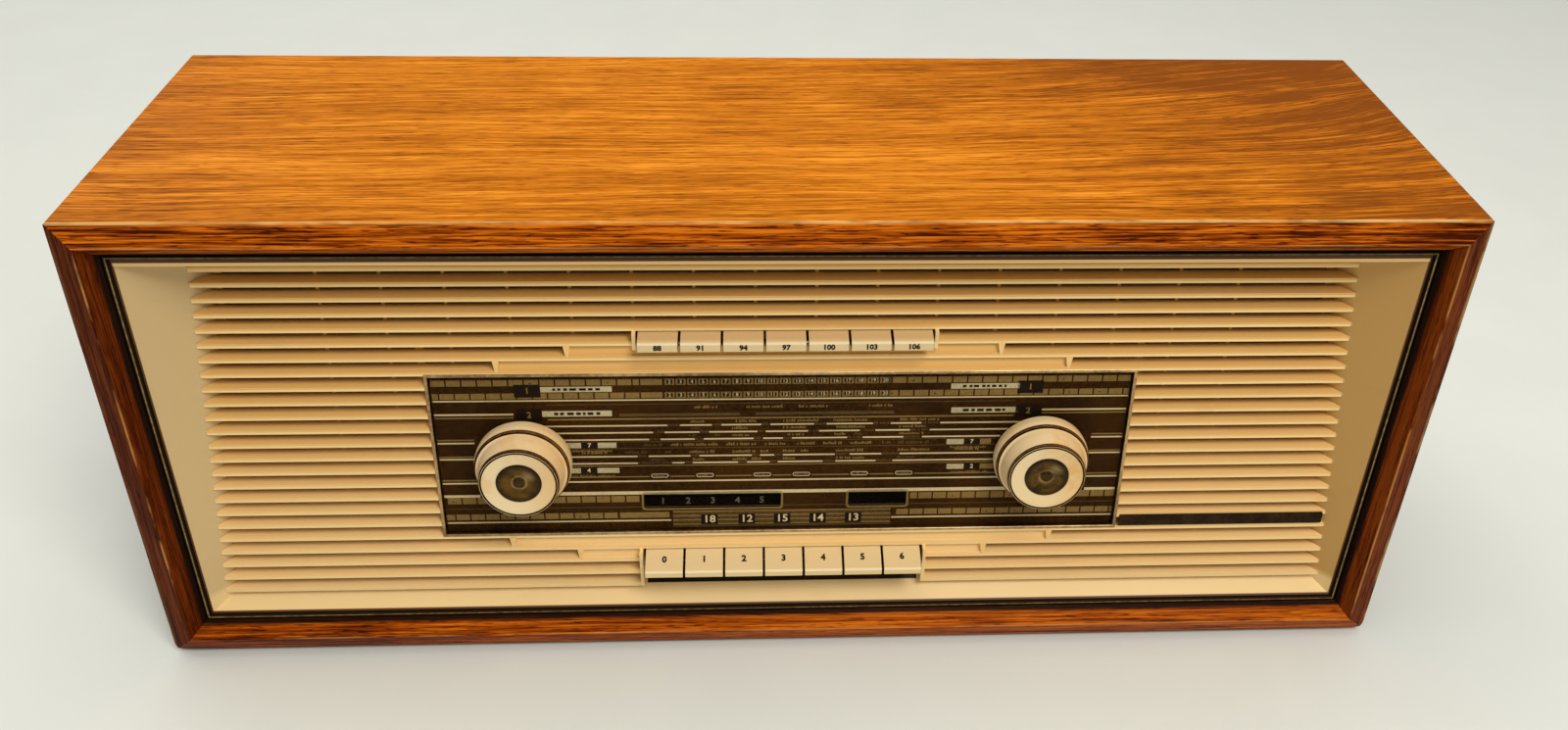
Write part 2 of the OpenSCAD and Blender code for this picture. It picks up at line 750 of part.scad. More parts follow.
// Two rods, each between two posts on the plate
module pointer_rails() {
  ends = [-am_travel - 12, am_travel + 8];
  color("silver") front() for (set = [[-1, am_drum_y], [1, fm_drum_y]])
    translate([0, 0, knob_v]) mirror([0, 0, set[0] < 0 ? 1 : 0]) {
      rail = rail_off(set[0]);
      translate([ends[0], set[1], rail]) rotate([0, 90, 0]) cylinder(r = rail_r, h = ends[1] - ends[0]);
      for (x = ends) {
        block([x - 2, plate_back, rail - 2.6], [x + 2, set[1] + 2, rail + 2.2]);
        block([x - 2, plate_back, plate_edge(set[0]) - 7], [x + 2, set[1] - 1.2, rail]);
      }
    }
}

function arc(centre, r, from, to) =
  [for (i = [0 : 24]) centre + r * [cos(from + (to - from) * i / 24), sin(from + (to - from) * i / 24)]];

// A pointer's loop at a distance from its middle line: end pulley, inner pin, drum and outer pin
function pointer_path(rail, off) = concat(
  arc([pulley_x, rail], pulley_r + off, 90, 270),
  arc([knob_x - drum_r - pulley_r, rail - 2 * pulley_r], pulley_r - off, 90, 0),
  arc([knob_x, 0], drum_r + off, 180, 360),
  arc([knob_x + drum_r - pulley_r, rail], pulley_r + off, 0, 90));

// The loop from the small drum to the capacitor's drum
cap_lean = asin((cap_drum_r - cap_hub_r) / (knob_x - cap_x));
function capacitor_path(off) = concat(
  arc([cap_x, 0], cap_drum_r + off, 90 - cap_lean, 270 + cap_lean),
  arc([knob_x, 0], cap_hub_r + off, cap_lean - 90, 90 - cap_lean));

module loop(up, plane, outer, inner) {
  front() translate([0, plane, knob_v]) mirror([0, 0, up < 0 ? 1 : 0]) rotate([90, 0, 0])
    linear_extrude(2 * cord_r, center = true) difference() {
      polygon(outer);
      polygon(inner);
    }
}

module dial_cords() {
  color("khaki") {
    loop(-1, am_drum_y, pointer_path(rail_off(-1), cord_r), pointer_path(rail_off(-1), -cord_r));
    loop(1, fm_drum_y, pointer_path(rail_off(1), cord_r), pointer_path(rail_off(1), -cord_r));
    loop(1, cap_drum_y, capacitor_path(cord_r), capacitor_path(-cord_r));
  }
}

module pulley(up, plane) {
  color("ivory") on_front(pulley_x, knob_v + up * rail_off(up)) difference() {
    drum(pulley_r, plane, 1.6);
    translate([0, 0, -40]) cylinder(r = pulley_pin_r + run_fit, h = 40);
  }
}

module am_pulley() {
  pulley(-1, am_drum_y);
}

module fm_pulley() {
  pulley(1, fm_drum_y);
}

// Folded tray with an open underside
module chassis() {
  half = chassis_w / 2;
  color("silver") difference() {
    block([-half, chassis_y, floor_z], [half, chassis_back, chassis_top]);
    block([sheet_t - half, chassis_y + sheet_t, floor_z - 1],
      [half - sheet_t, chassis_back - sheet_t, chassis_top - sheet_t]);
  }
}

module valve(x, y, r, h) {
  translate([x, y, chassis_top]) {
    cylinder(r = r + 2, h = 6);
    cylinder(r = r, h = h - r);
    translate([0, 0, h - r]) intersection() {
      sphere(r);
      cylinder(r = r, h = r);
    }
    cylinder(r = 2, h = h + 3);
  }
}

// Six upright valves in their sockets
module valves() {
  color("lightblue") for (v = valve_places) valve(v[0], chassis_y + v[1], v[2], v[3]);
}

module laminated(place, core) {
  translate([place[0], chassis_y + place[1], chassis_top]) {
    block([-core[0] / 2, -core[1] / 4, 0], [core[0] / 2, core[1] / 4, core[2]]);
    block([-core[0] / 3, -core[1] / 2, core[2] / 6], [core[0] / 3, core[1] / 2, core[2] * 5 / 6]);
  }
}

module transformers() {
  color("dimgray") {
    laminated(mains_place, mains_core);
    laminated(output_place, output_core);
  }
}

// Loudspeaker basket with its windows, and the magnet pot on its rear
module loudspeakers() {
  cone_r = speaker_r - 7;
  neck = magnet_r - 4;
  color("gray") in_pairs() on_front(speaker_x, speaker_v) translate([0, 0, -baffle_back]) difference() {
    union() {
      rotate_extrude() polygon([[cone_r, 0], [speaker_r, 0], [speaker_r, -2], [cone_r + 1.4, -2],
        [neck + 1.4, -basket_d], [neck, -basket_d], [neck, 1 - basket_d], [cone_r, -1.4]]);
      translate([0, 0, -basket_d - magnet_d]) cylinder(r = magnet_r, h = magnet_d);
    }
    for (a = [0 : 60 : 300]) rotate(a) block([neck + 3, -9, 3 - basket_d], [cone_r - 3, 9, -4]);
  }
}

module speaker_cones() {
  cone_r = speaker_r - 7.3;
  color("black") in_pairs() on_front(speaker_x, speaker_v) translate([0, 0, -baffle_back]) {
    rotate_extrude() polygon([[cone_r, 0], [cone_r, -1.2], [14, 2 - basket_d], [0, 2 - basket_d],
      [0, 3.4 - basket_d], [13.4, 3.4 - basket_d], [cone_r - 2, 0]]);
    translate([0, 0, -basket_d]) cylinder(r = 12, h = 3);
  }
}

// Two coupling cans, the smoothing capacitor and the FM tuner box that the inner tuning spindle enters
module screening_cans() {
  color("lightgray") {
    translate([0, chassis_y, chassis_top]) {
      for (p = can_places) translate([p[0], p[1], can_h / 2]) cube([can_w, can_w, can_h], center = true);
      translate([smoothing_place[0], smoothing_place[1], 0]) cylinder(r = smoothing_r, h = smoothing_h);
    }
    difference() {
      block([knob_x - 25, tuner_y, chassis_top], [knob_x + 27, tuner_y + tuner_l, chassis_top + tuner_h]);
      on_front(knob_x, knob_v) translate([0, 0, -fm_spindle_end - 1])
        cylinder(r = spindle_r + run_fit, h = fm_spindle_end);
    }
  }
}

// Ferrite rod with two coils, in two saddles below the cabinet's top
module ferrite_aerial() {
  rod_z = ceiling_z - rod_drop;
  rod_y = chassis_y + 53;
  color("darkgray") {
    translate([-90, rod_y, rod_z]) rotate([0, 90, 0]) cylinder(r = rod_r, h = 180);
    for (x = [-60, 30]) translate([x, rod_y, rod_z]) rotate([0, 90, 0]) cylinder(r = coil_r, h = 34);
    for (x = [-82, 76]) block([x, rod_y - rod_r - 2, rod_z - rod_r - 2], [x + 6, rod_y + rod_r + 2, ceiling_z]);
  }
}

// Four lamps in clips at the corners of the dial plate
module dial_lamps() {
  color("lightyellow") front() in_pairs() for (v = [knob_v - 36, knob_v + 36]) {
    translate([knob_x + 24, plate_y - 3, v]) rotate([0, 90, 0]) cylinder(r = 2.4, h = 12);
    block([knob_x + 33, plate_y - 5.6, v - 3], [knob_x + 40, plate_y, v + 3]);
  }
}

// Hardboard cover with vent slots, cut out at the bottom for the sockets
module back_cover() {
  half = inner_x - 0.8;
  color("sienna") difference() {
    block([-half, back_y, floor_z + 0.8], [half, back_y + back_t, ceiling_z - 0.8]);
    for (x = [-3 : 3], z = [0 : 9])
      block([x * 84 - slot_w / 2, back_y - 1, floor_z + 62 + z * 17],
        [x * 84 + slot_w / 2, back_y + back_t + 1, floor_z + 62 + z * 17 + slot_h]);
    block([-165, back_y - 1, floor_z], [165, back_y + back_t + 1, socket_z + 13]);
    in_pairs() for (z = screw_zs) translate([screw_x, back_y - 1, z]) rotate([-90, 0, 0])
      cylinder(r = screw_r + 0.3, h = back_t + 2);
  }
}

module screws() {
  color("silver") in_pairs() for (z = screw_zs) translate([screw_x, back_y + back_t, z]) rotate([90, 0, 0]) {
    cylinder(r = screw_r, h = back_t + 8);
    translate([0, 0, -1.8]) cylinder(r = 3.8, h = 1.8);
  }
}

// Aerial and earth sockets, loudspeaker socket, voltage switch, fuse and the mains lead's grommet
module rear_sockets() {
  color("saddlebrown") translate([0, chassis_back, socket_z]) {
    difference() {
      union() {
        block([socket_x[0] - 9, 0, -9], [socket_x[3] + 9, 3, 9]);
        for (x = socket_x) translate([x, 0, 0]) rotate([-90, 0, 0]) cylinder(r = 4.5, h = socket_l);
      }
      for (x = socket_x) translate([x, -1, 0]) rotate([-90, 0, 0]) cylinder(r = socket_r, h = socket_l + 2);
    }
    translate([-50, 0, 0]) rotate([-90, 0, 0]) cylinder(r = 9, h = 6);
    translate([60, 0, 0]) rotate([-90, 0, 0]) cylinder(r = 10, h = 5);
    translate([100, 0, 0]) rotate([-90, 0, 0]) cylinder(r = 7, h = 9);
    translate([145, 0, 0]) rotate([-90, 0, 0]) ring_solid(grommet_r + 3.5, grommet_r, 0, socket_l);
  }
}

cabinet_top();
cabinet_bottom();
cabinet_left_side();
cabinet_right_side();
glue_blocks();
feet();
trim_bead();
trim_liner();
front_surround();
louvre_grille();
speaker_cloth();
baffle_board();
dial_rim();
dial_glass();
dial_plate();
dark_strip();
key_frames();
station_key(1);  // station_key_1
station_key(2);  // station_key_2
station_key(3);  // station_key_3
station_key(4);  // station_key_4
station_key(5);  // station_key_5
station_key(6);  // station_key_6
station_key(7);  // station_key_7
band_key(1);  // band_key_1
band_key(2);  // band_key_2
band_key(3);  // band_key_3
band_key(4);  // band_key_4
band_key(5);  // band_key_5
band_key(6);  // band_key_6
band_key(7);  // band_key_7
key_springs();
volume_knob();
volume_cap();
volume_spindle();
tone_ring();
fm_knob();
fm_cap();
fm_spindle();
am_ring();
control_pot();
tuning_capacitor();
capacitor_rotor();
am_pointer();
fm_pointer();
pointer_rails();
dial_cords();
am_pulley();
fm_pulley();
chassis();
valves();
transformers();
loudspeakers();
speaker_cones();
screening_cans();
ferrite_aerial();
dial_lamps();
back_cover();
screws();
rear_sockets();
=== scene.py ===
import math
import random

import bmesh
import bpy
from mathutils import Matrix, Vector


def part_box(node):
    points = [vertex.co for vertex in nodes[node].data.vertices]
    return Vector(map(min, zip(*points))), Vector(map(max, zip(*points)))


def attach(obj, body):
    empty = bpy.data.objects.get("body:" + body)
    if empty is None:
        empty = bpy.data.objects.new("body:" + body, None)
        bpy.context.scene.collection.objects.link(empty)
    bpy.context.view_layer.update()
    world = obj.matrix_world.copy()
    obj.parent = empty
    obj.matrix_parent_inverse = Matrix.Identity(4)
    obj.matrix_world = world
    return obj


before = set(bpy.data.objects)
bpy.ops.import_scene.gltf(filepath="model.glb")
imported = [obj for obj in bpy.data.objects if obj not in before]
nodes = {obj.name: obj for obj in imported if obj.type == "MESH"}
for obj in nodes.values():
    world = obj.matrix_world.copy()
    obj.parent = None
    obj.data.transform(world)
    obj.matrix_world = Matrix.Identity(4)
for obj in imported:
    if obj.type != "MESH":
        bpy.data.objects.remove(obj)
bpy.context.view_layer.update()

scene = bpy.context.scene
link = scene.collection.objects.link
mm = 0.001
upright = Matrix.Rotation(math.pi / 2, 4, "X")  # stands a flat shape up, facing the front
backward = Matrix.Rotation(-math.pi / 2, 4, "X")  # turns z out of the back

# The cabinet's outline in metres; frontTop is the top of its opening's outline
cabinet = dict(half=0.325, under=0.003, top=0.269, frontTop=0.2676)

# The leaning front. Sizes on it are in mm: x, depth behind the louvre lips (y) and height up them (v)
front = dict(tilt=math.radians(4.56), lipY=-77.3, lipZ=34.8, knobX=133, knobV=82.2, pitch=8.42, lip=2.5)
frontPlace = (Matrix.Translation((0, front["lipY"] * mm, front["lipZ"] * mm))
              @ Matrix.Rotation(-front["tilt"], 4, "X") @ Matrix.Scale(mm, 4))

# Camera and light
shot = dict(
    place=(-0.0179, -0.5992, 0.5737), pitch=30.584, yaw=-3.502, roll=1.673, lens=30.555, shift=(-0.0226, -0.094),
    sensor=36, nearest=0.01)


def addCamera(look):
    turn = Matrix.Rotation(math.radians(look["yaw"]), 3, "Z")
    pitch, roll = math.radians(look["pitch"]), math.radians(look["roll"])
    ahead = turn @ Vector((0, math.cos(pitch), -math.sin(pitch)))
    up = turn @ Vector((0, math.sin(pitch), math.cos(pitch)))
    right = turn @ Vector((1, 0, 0))
    right, up = right * math.cos(roll) + up * math.sin(roll), up * math.cos(roll) - right * math.sin(roll)
    lens = bpy.data.cameras.new("camera")
    camera = bpy.data.objects.new("camera", lens)
    camera.matrix_world = Matrix((right, up, -ahead)).transposed().to_4x4()
    camera.location = look["place"]
    lens.sensor_width = look["sensor"]
    lens.lens = look["lens"]
    lens.shift_x, lens.shift_y = look["shift"]
    lens.clip_start = look["nearest"]
    link(camera)
    scene.camera = camera


studio = dict(aim=(0, 0, 0.12), sky=(0.93, 0.93, 0.9, 1), skyPower=0.34)
lamps = dict(
    keyLamp=dict(place=(0.7, -1.3, 2.1), power=36, size=0.9, colour=(1, 0.97, 0.92)),
    topLamp=dict(place=(-0.3, 0.3, 2.2), power=25, size=2, colour=(1, 0.98, 0.95)),
    backLamp=dict(place=(-1.6, 1.4, 1.3), power=6, size=1.6, colour=(1, 0.99, 0.97)))


def addLamp(name, look):
    lamp = bpy.data.lights.new(name, "AREA")
    lamp.energy, lamp.size, lamp.color = look["power"], look["size"], look["colour"]
    holder = bpy.data.objects.new(name, lamp)
    holder.location = look["place"]
    aim = Vector(studio["aim"]) - Vector(look["place"])
    holder.rotation_euler = aim.to_track_quat("-Z", "Y").to_euler()
    link(holder)


addCamera(shot)
for lampName, lampLook in lamps.items():
    addLamp(lampName, lampLook)
world = bpy.data.worlds.new("studio")
world.use_nodes = True
sky = world.node_tree.nodes["Background"].inputs
sky["Color"].default_value = studio["sky"]
sky["Strength"].default_value = studio["skyPower"]
scene.world = world
scene.view_settings.view_transform = "Standard"
print("camera and lights")


# Shader maths: a wire is a node's output, and sums on wires add their nodes
class Wire:
    def __init__(self, finish, socket):
        self.finish, self.socket = finish, socket
        self.many = socket.type in ("VECTOR", "RGBA")

    def sum(self, work, first, second):
        if self.many:
            return self.finish.node("VectorMath", {"operation": work}, {0: first, 1: second})
        return self.finish.node("Math", {"operation": work}, {0: first, 1: second})

    def __add__(self, other): return self.sum("ADD", self, other)
    def __radd__(self, other): return self.sum("ADD", other, self)
    def __sub__(self, other): return self.sum("SUBTRACT", self, other)
    def __rsub__(self, other): return self.sum("SUBTRACT", other, self)
    def __mul__(self, other): return self.sum("MULTIPLY", self, other)
    def __rmul__(self, other): return self.sum("MULTIPLY", other, self)
    def __truediv__(self, other): return self.sum("DIVIDE", self, other)
    def __pow__(self, other): return self.sum("POWER", self, other)
    def least(self, other): return self.sum("MINIMUM", self, other)
    def most(self, other): return self.sum("MAXIMUM", self, other)
    def work(self, name): return self.finish.node("Math", {"operation": name}, {0: self})
    def __abs__(self): return self.work("ABSOLUTE")

    def lift(self, low, high):  # 0 at low, 1 at high, soft between, in metres or in noise
        return self.finish.node("MapRange", {"interpolation_type": "SMOOTHSTEP"},
                                {"Value": self, "From Min": low, "From Max": high})

    def near(self, middle, far, close):  # 1 within close of the middle, 0 beyond far
        return abs(self - middle).lift(far, close)

    def phase(self, pitch):  # -0.5 to 0.5 over each pitch
        return (self / pitch + 0.5).work("FRACT") - 0.5

    def ramp(self, places, colours):
        return self.finish.node("ValToRGB", {"stops": tuple(zip(places, colours))}, {"Fac": self})


class Finish:
    def __init__(self, name):
        self.material = bpy.data.materials.new(name)
        self.material.use_nodes = True
        self.nodes = self.material.node_tree.nodes
        self.nodes.clear()
        self.place = self.node("TexCoord", output="Object")

    def node(self, kind, settings=None, values=None, output=0):
        made = self.nodes.new("ShaderNode" + kind)
        for key, value in (settings or {}).items():
            if key == "stops":
                while len(made.color_ramp.elements) < len(value):
                    made.color_ramp.elements.new(1)
                for stop, (at, colour) in zip(made.color_ramp.elements, value):
                    stop.position = at
                    stop.color = (*colour, 1)
            else:
                setattr(made, key, value)
        for key, value in (values or {}).items():
            if isinstance(value, Wire):
                self.material.node_tree.links.new(value.socket, made.inputs[key])
            elif isinstance(value, tuple) and made.inputs[key].type == "RGBA" and len(value) == 3:
                made.inputs[key].default_value = (*value, 1)
            else:
                made.inputs[key].default_value = value
        return Wire(self, made.outputs[output])

    def noise(self, scale, detail=3, rough=0.55, at=None, stretch=None, twist=0):
        at = at or self.place
        if stretch:
            at = at * stretch
        return self.node("TexNoise", None, {"Vector": at, "Scale": scale, "Detail": detail,
                                            "Roughness": rough, "Distortion": twist})

    def mix(self, factor, low, high):
        return self.node("Mix", {"data_type": "RGBA"}, {0: factor, 6: low, 7: high}, output=2)

    def split(self):
        made = self.node("SeparateXYZ", None, {0: self.place})
        return [Wire(self, socket) for socket in made.socket.node.outputs]

    def bump(self, height, strength, distance):
        return self.node("Bump", None, {"Height": height, "Strength": strength, "Distance": distance})

    def done(self, **sockets):
        names = {"colour": "Base Color", "rough": "Roughness", "metal": "Metallic", "coat": "Coat Weight",
                 "coatRough": "Coat Roughness", "alpha": "Alpha", "normal": "Normal",
                 "specular": "Specular IOR Level"}
        shader = self.node("BsdfPrincipled", None, {names[key]: value for key, value in sockets.items()})
        out = self.nodes.new("ShaderNodeOutputMaterial")
        self.material.node_tree.links.new(shader.socket, out.inputs["Surface"])
        return self.material


def insetOf(wide, z, top=cabinet["top"]):  # how far in from the cabinet's outline
    return (cabinet["half"] - wide).least(z - cabinet["under"]).least(top - z)


def leaning(y, z):  # depth behind the louvre lips and height up the louvres, in metres
    cos, sin = math.cos(front["tilt"]), math.sin(front["tilt"])
    depth = (y - front["lipY"] * mm) * cos - (z - front["lipZ"] * mm) * sin
    height = (y - front["lipY"] * mm) * sin + (z - front["lipZ"] * mm) * cos
    return depth, height


# Walnut veneer under a satin lacquer
woodTones = dict(  # dark, middle and light of each face
    top=((0.21, 0.052, 0.002), (0.5, 0.14, 0.004), (0.8, 0.29, 0.022)),
    edge=((0.048, 0.006, 0.001), (0.3, 0.051, 0.001), (0.64, 0.16, 0.007)),
    side=((0.024, 0.004, 0.0004), (0.08, 0.0115, 0.0005), (0.18, 0.036, 0.003)))
woodBoards = dict(  # way of the grain, tones, tone, specular, lighter lipping, worn line, bare arris
    veneerTop=("x", "top", 0.56, 0.03, 0, 0.6), veneerBottom=("x", "edge", 0.5, 0.03, 0, 0.6),
    veneerLeft=("z", "side", 0.47, 0.02, 0.05, 0.85, 0.06),
    veneerRight=("z", "side", 0.51, 0.02, 0.14, 0.85, 0.3))
woodGrain = dict(  # scale along and across the grain, detail, roughness
    shift=(2.4, 7, 2, 0.5), broad=(1.6, 26, 3, 0.55), streak=(5, 300, 4, 0.62), fibre=(24, 1000, 3, 0.65),
    pores=(110, 1300, 1.5, 0.5), veins=(4, 75, 2, 0.5), blotch=(4, 9, 3, 0.5))
wood = dict(  # places in metres, tints, and how much each layer counts
    shift=0.038, fan=2.9, broad=0.62, streak=0.95, fibre=1.85, pores=0.26, blotch=0.15, veins=0.07, rightVeins=0.09,
    lipY=-0.0925, arrisY=-0.088, arris=0.22, arrisWear=0.34, lipIn=0.011, bareTint=(1, 0.62, 0.22),
    wornTint=(0.55, 0.25, 0.07), grimeAndShade=0.96, linerShadeTint=(0.008, 0.004, 0.002))
woodAge = dict(front=0.82, rear=0.18, left=0.22, stain=0.36, smudge=0.24, corner=0.14)
woodEdge = dict(fibre=0.35, streak=0.5, broad=0.3, stain=0.26, middle=0.08, tone=0.02)


def woodFinish(name, along, tones, level, specular, lipTone, wornPart, barePart=0):
    age, edge = woodAge, woodEdge
    isTop = name == "veneerTop"
    f = Finish(name)

    def stretch(alongIt, acrossIt):
        return tuple(alongIt if axis == along else acrossIt for axis in "xyz")

    def layer(kind, at=None):
        alongIt, acrossIt, detail, rough = woodGrain[kind]
        return f.noise(1, detail, rough, at=at, stretch=stretch(alongIt, acrossIt))

    x, y, z = f.split()
    shift = (layer("shift") - 0.5) * wood["shift"]
    if isTop:  # the grain fans out towards the right rear corner
        shift = shift - x.most(0) ** 2 * (y - wood["lipY"]) * wood["fan"]
    at = f.node("CombineXYZ", None, {0: x, 1: y + shift * y.lift(-0.0885, -0.087), 2: z})
    broad, streak, fibre = (layer(kind, at) - 0.5 for kind in ("broad", "streak", "fibre"))
    pores = layer("pores", at).lift(0.56, 0.68)
    veins = layer("veins", at).lift(0.4, 0.5)
    veins = veins * layer("veins", at).lift(0.6, 0.5)
    blotch = layer("blotch").lift(0.35, 0.7) - 0.5
    tone = broad * wood["broad"] + streak * wood["streak"] + fibre * wood["fibre"] + blotch * wood["blotch"]
    tone = tone - veins * (wood["veins"] + x.lift(0, 0.2) * wood["rightVeins"]) + level
    if isTop:  # age has darkened the right end and the left rear corner
        stain = x.lift(0.02, 0.3) * (age["front"] + y.lift(-0.05, 0.05) * age["rear"])
        stain = stain + x.lift(-0.24, -0.33) * age["left"]
        smudge = f.noise(1, 4, 0.65, stretch=(9, 22, 22)).lift(0.5, 0.72) * x.lift(0.08, 0.24)
        tone = tone - stain * age["stain"] - smudge * (age["smudge"] + x.lift(0.18, 0.3) * age["corner"])
    lipFace = (y - wood["lipY"]).lift(0.0046, 0.004)
    tone = tone - pores * wood["pores"] + lipFace * lipTone
    colour = tone.ramp((0.08, 0.46, 0.84), woodTones[tones])
    if isTop:  # its front edge
        rim = tone + fibre * edge["fibre"] - streak * edge["streak"] - broad * edge["broad"]
        # the middle of the front edge is painted lighter, a painted highlight
        rim = rim + stain * edge["stain"] + abs(x).lift(0.26, 0.02) * edge["middle"] + edge["tone"]
        colour = f.mix(z.lift(0.2687, 0.26835), colour, rim.ramp((0.22, 0.5, 0.78), woodTones["edge"]))

    # Bare arrises, a worn line along the lipping's inner edge, and painted shade beside the liner
    inset = insetOf(abs(x), z)
    patches = f.noise(70, 3, 0.6, stretch=stretch(0.35, 1))
    arris = y.near(wood["arrisY"], 0.0011, 0.0004)
    if along == "x":
        rubbed = arris * z.lift(0.2676, 0.2684)
        bare = rubbed * (wood["arris"] + patches.lift(0.42, 0.58) * wood["arrisWear"])
    else:
        bare = arris * abs(x).lift(0.3215, 0.3245) * patches.lift(0.46, 0.6) * barePart
    colour = f.mix(bare, colour, wood["bareTint"])
    worn = inset.near(wood["lipIn"], 0.00065, 0.00015) * (y - wood["lipY"]).lift(0.0014, 0.0007)
    worn = worn * patches.lift(0.4, 0.56) * wornPart
    colour = f.mix(worn, colour, wood["wornTint"])
    # painted shade: the wood darkened next to the liner, where the recess lies in shade
    corner = inset.lift(0.016, 0.0174) * y.lift(-0.088, -0.0865)
    colour = f.mix(corner * wood["grimeAndShade"], colour, wood["linerShadeTint"])
    rough = 0.36 + 0.16 * fibre + pores * 0.2 + worn * 0.12
    return f.done(colour=colour, rough=rough, specular=specular,
                  normal=f.bump(fibre * 0.6 - pores * 0.8 + streak * 0.3, 0.45, 0.00018))


# Cream moulding: bright lips, ochre blades with painted shade and dust, painted shade brown in the depth
creamLook = dict(
    lip=(0.95, 0.69, 0.325), face=(0.76, 0.44, 0.13), lowFace=(0.9, 0.595, 0.245), deep=(0.12, 0.045, 0.008),
    grimeAndShade=(0.34, 0.19, 0.06), leftCheekShade=(0.485, 0.35, 0.175), rightCheekShade=(0.51, 0.285, 0.074),
    gasket=(0.085, 0.026, 0.002), slot=(0.01, 0.006, 0.003), rim=(0.66, 0.4, 0.135), sill=(0.84, 0.605, 0.285),
    cast=(0.98, 0.93, 0.84), crestHighlight=(0.98, 0.86, 0.58))
creams = dict(  # a ridge is the keys' pitch, its height up the front and its depth, all in mm
    creamFin=dict(lip=(0.88, 0.6, 0.25)), creamKnob=dict(lip=(0.86, 0.68, 0.4), knob=(0.78, 0.42, 0.12)),
    creamStationKey=dict(lip=(0.74, 0.56, 0.3), slope=(0.6, 0.4, 0.175), ridge=(20.9, 155.96, -8)),
    creamBandKey=dict(lip=(0.8, 0.6, 0.31), slope=(0.77, 0.575, 0.29), ridge=(21.1, 17.9, -12)))
mould = dict(  # how much each layer counts; cheek and belowRidge are places in metres
    wander=0.0012, bladeWander=0.05, face=0.92, cheek=0.2198, cheekTopShade=0.8, left=0.66, right=0.88, rim=0.55,
    slotShadowLean=0.02, slope=0.75, belowRidge=0.00025, crestHighlight=0.8, side=0.5, patch=0.4, grimeAndShade=0.16)


def frontColour(f, colour, look, x, y, z, wide):
    depth, height = leaning(y, z)
    phase = height.phase(front["pitch"] * mm)  # 0 at the middle of each louvre's lip
    wander = f.noise(260, 3, 0.6, stretch=(0.2, 1, 1)) - 0.5
    back = depth + wander * mould["wander"]
    # painted shade and dust: the blades' faces and the upper half of each lip are painted ochre, lighter towards the
    # bottom, leaving a thin bright line at the foot of each lip as a painted highlight
    pale = f.mix(height.lift(0.14, 0.01), look["face"], look["lowFace"])
    blade = back.lift(0.0003, 0.0012)
    blade = blade.most((phase + wander * mould["bladeWander"]).lift(-0.05, 0.06) * depth.lift(-0.0008, -0.0002))
    colour = f.mix(blade * mould["face"], colour, pale)
    # painted shade: brown deep behind the lips, in the shaded gaps under them
    colour = f.mix(back.lift(0.005, 0.008), colour, look["deep"])
    cheek = (wide + y).near(mould["cheek"], 0.0011, 0.0005) * depth.lift(0.016, 0.008)
    colour = f.mix(cheek, colour, look["lip"])
    # painted shade on the cheeks: the left cheek darker towards the top, the right cheek tan, lit and shaded copies of
    # the cream
    darker = tuple(v * mould["cheekTopShade"] for v in look["leftCheekShade"])
    cheekTopShade = f.mix(height.lift(0.2, 0.02), darker, look["leftCheekShade"])
    colour = f.mix(cheek * x.lift(0.1, -0.1) * mould["left"], colour, cheekTopShade)
    colour = f.mix(cheek * x.lift(-0.1, 0.1) * mould["right"], colour, look["rightCheekShade"])
    # painted shadow of the top board on the cream's upper rim
    colour = f.mix(z.lift(0.2425, 0.244) * mould["rim"], colour, look["rim"])
    colour = f.mix(height.lift(0.004, -0.002), colour, look["sill"])
    inset = insetOf(wide, z, cabinet["frontTop"])
    colour = f.mix(inset.lift(0.0225, 0.0221), colour, look["gasket"])
    # painted shadow: near black on the sill where the slot under the band keys lies in shade
    slot = (y - mould["slotShadowLean"] * z).lift(-0.0739, -0.0736) * wide.lift(0.0738, 0.0734)
    return f.mix(slot * z.lift(0.042, 0.041), colour, look["slot"])


def keyColour(f, colour, look, x, y, z):  # painted highlight along the ridge, tan slope, painted shade on the flanks
    pitch, ridge, ridgeDepth = (v * mm for v in look["ridge"])
    depth, height = leaning(y, z)
    slope = (depth - ridgeDepth).lift(0.001, 0.0035)
    colour = f.mix(slope * mould["slope"], colour, look["slope"])
    # painted highlight: a pale line along each key's ridge
    crestHighlight = height.near(ridge - mould["belowRidge"], 0.00075, 0.00025) * (depth - ridgeDepth).lift(0.0016, 0.0008)
    colour = f.mix(crestHighlight * mould["crestHighlight"], colour, look["crestHighlight"])
    # painted shade: the flanks between the keys near black
    flank = abs(x.phase(pitch)) * look["ridge"][0]
    return f.mix((flank - look["ridge"][0] / 2).lift(-0.72, -0.6), colour, look["slot"])


def creamFinish(name, onFront=False, **changes):
    look = {**creamLook, **changes}
    f = Finish(name)
    x, y, z = f.split()
    wide = abs(x)
    cast = f.noise(7, 3, 0.5)
    speck = f.noise(900, 2, 0.6)
    yellowed = tuple(v * w for v, w in zip(look["lip"], look["cast"]))
    colour = f.mix(cast.lift(0.35, 0.7), look["lip"], yellowed)
    if onFront:
        colour = frontColour(f, colour, look, x, y, z, wide)
    if "ridge" in look:
        colour = keyColour(f, colour, look, x, y, z)
    if "knob" in look:  # tan painted shade towards the right of each turning, and random tan stains
        off = (wide - front["knobX"] * mm) * x.work("SIGN")
        stain = off.lift(-0.004, 0.02) * mould["side"] + f.noise(60, 3, 0.6).lift(0.5, 0.66) * mould["patch"]
        colour = f.mix(stain, colour, look["knob"])
    grimeAndShade = f.noise(46, 4, 0.65, stretch=(0.5, 1, 1)).lift(0.6, 0.78)
    colour = f.mix(grimeAndShade * mould["grimeAndShade"], colour, look["grimeAndShade"])
    return f.done(colour=colour, rough=0.4 + 0.22 * (speck - 0.5) + grimeAndShade * 0.1, specular=0.16,
                  coat=0.03, coatRough=0.3, normal=f.bump(speck + cast * 3, 0.12, 0.00012))


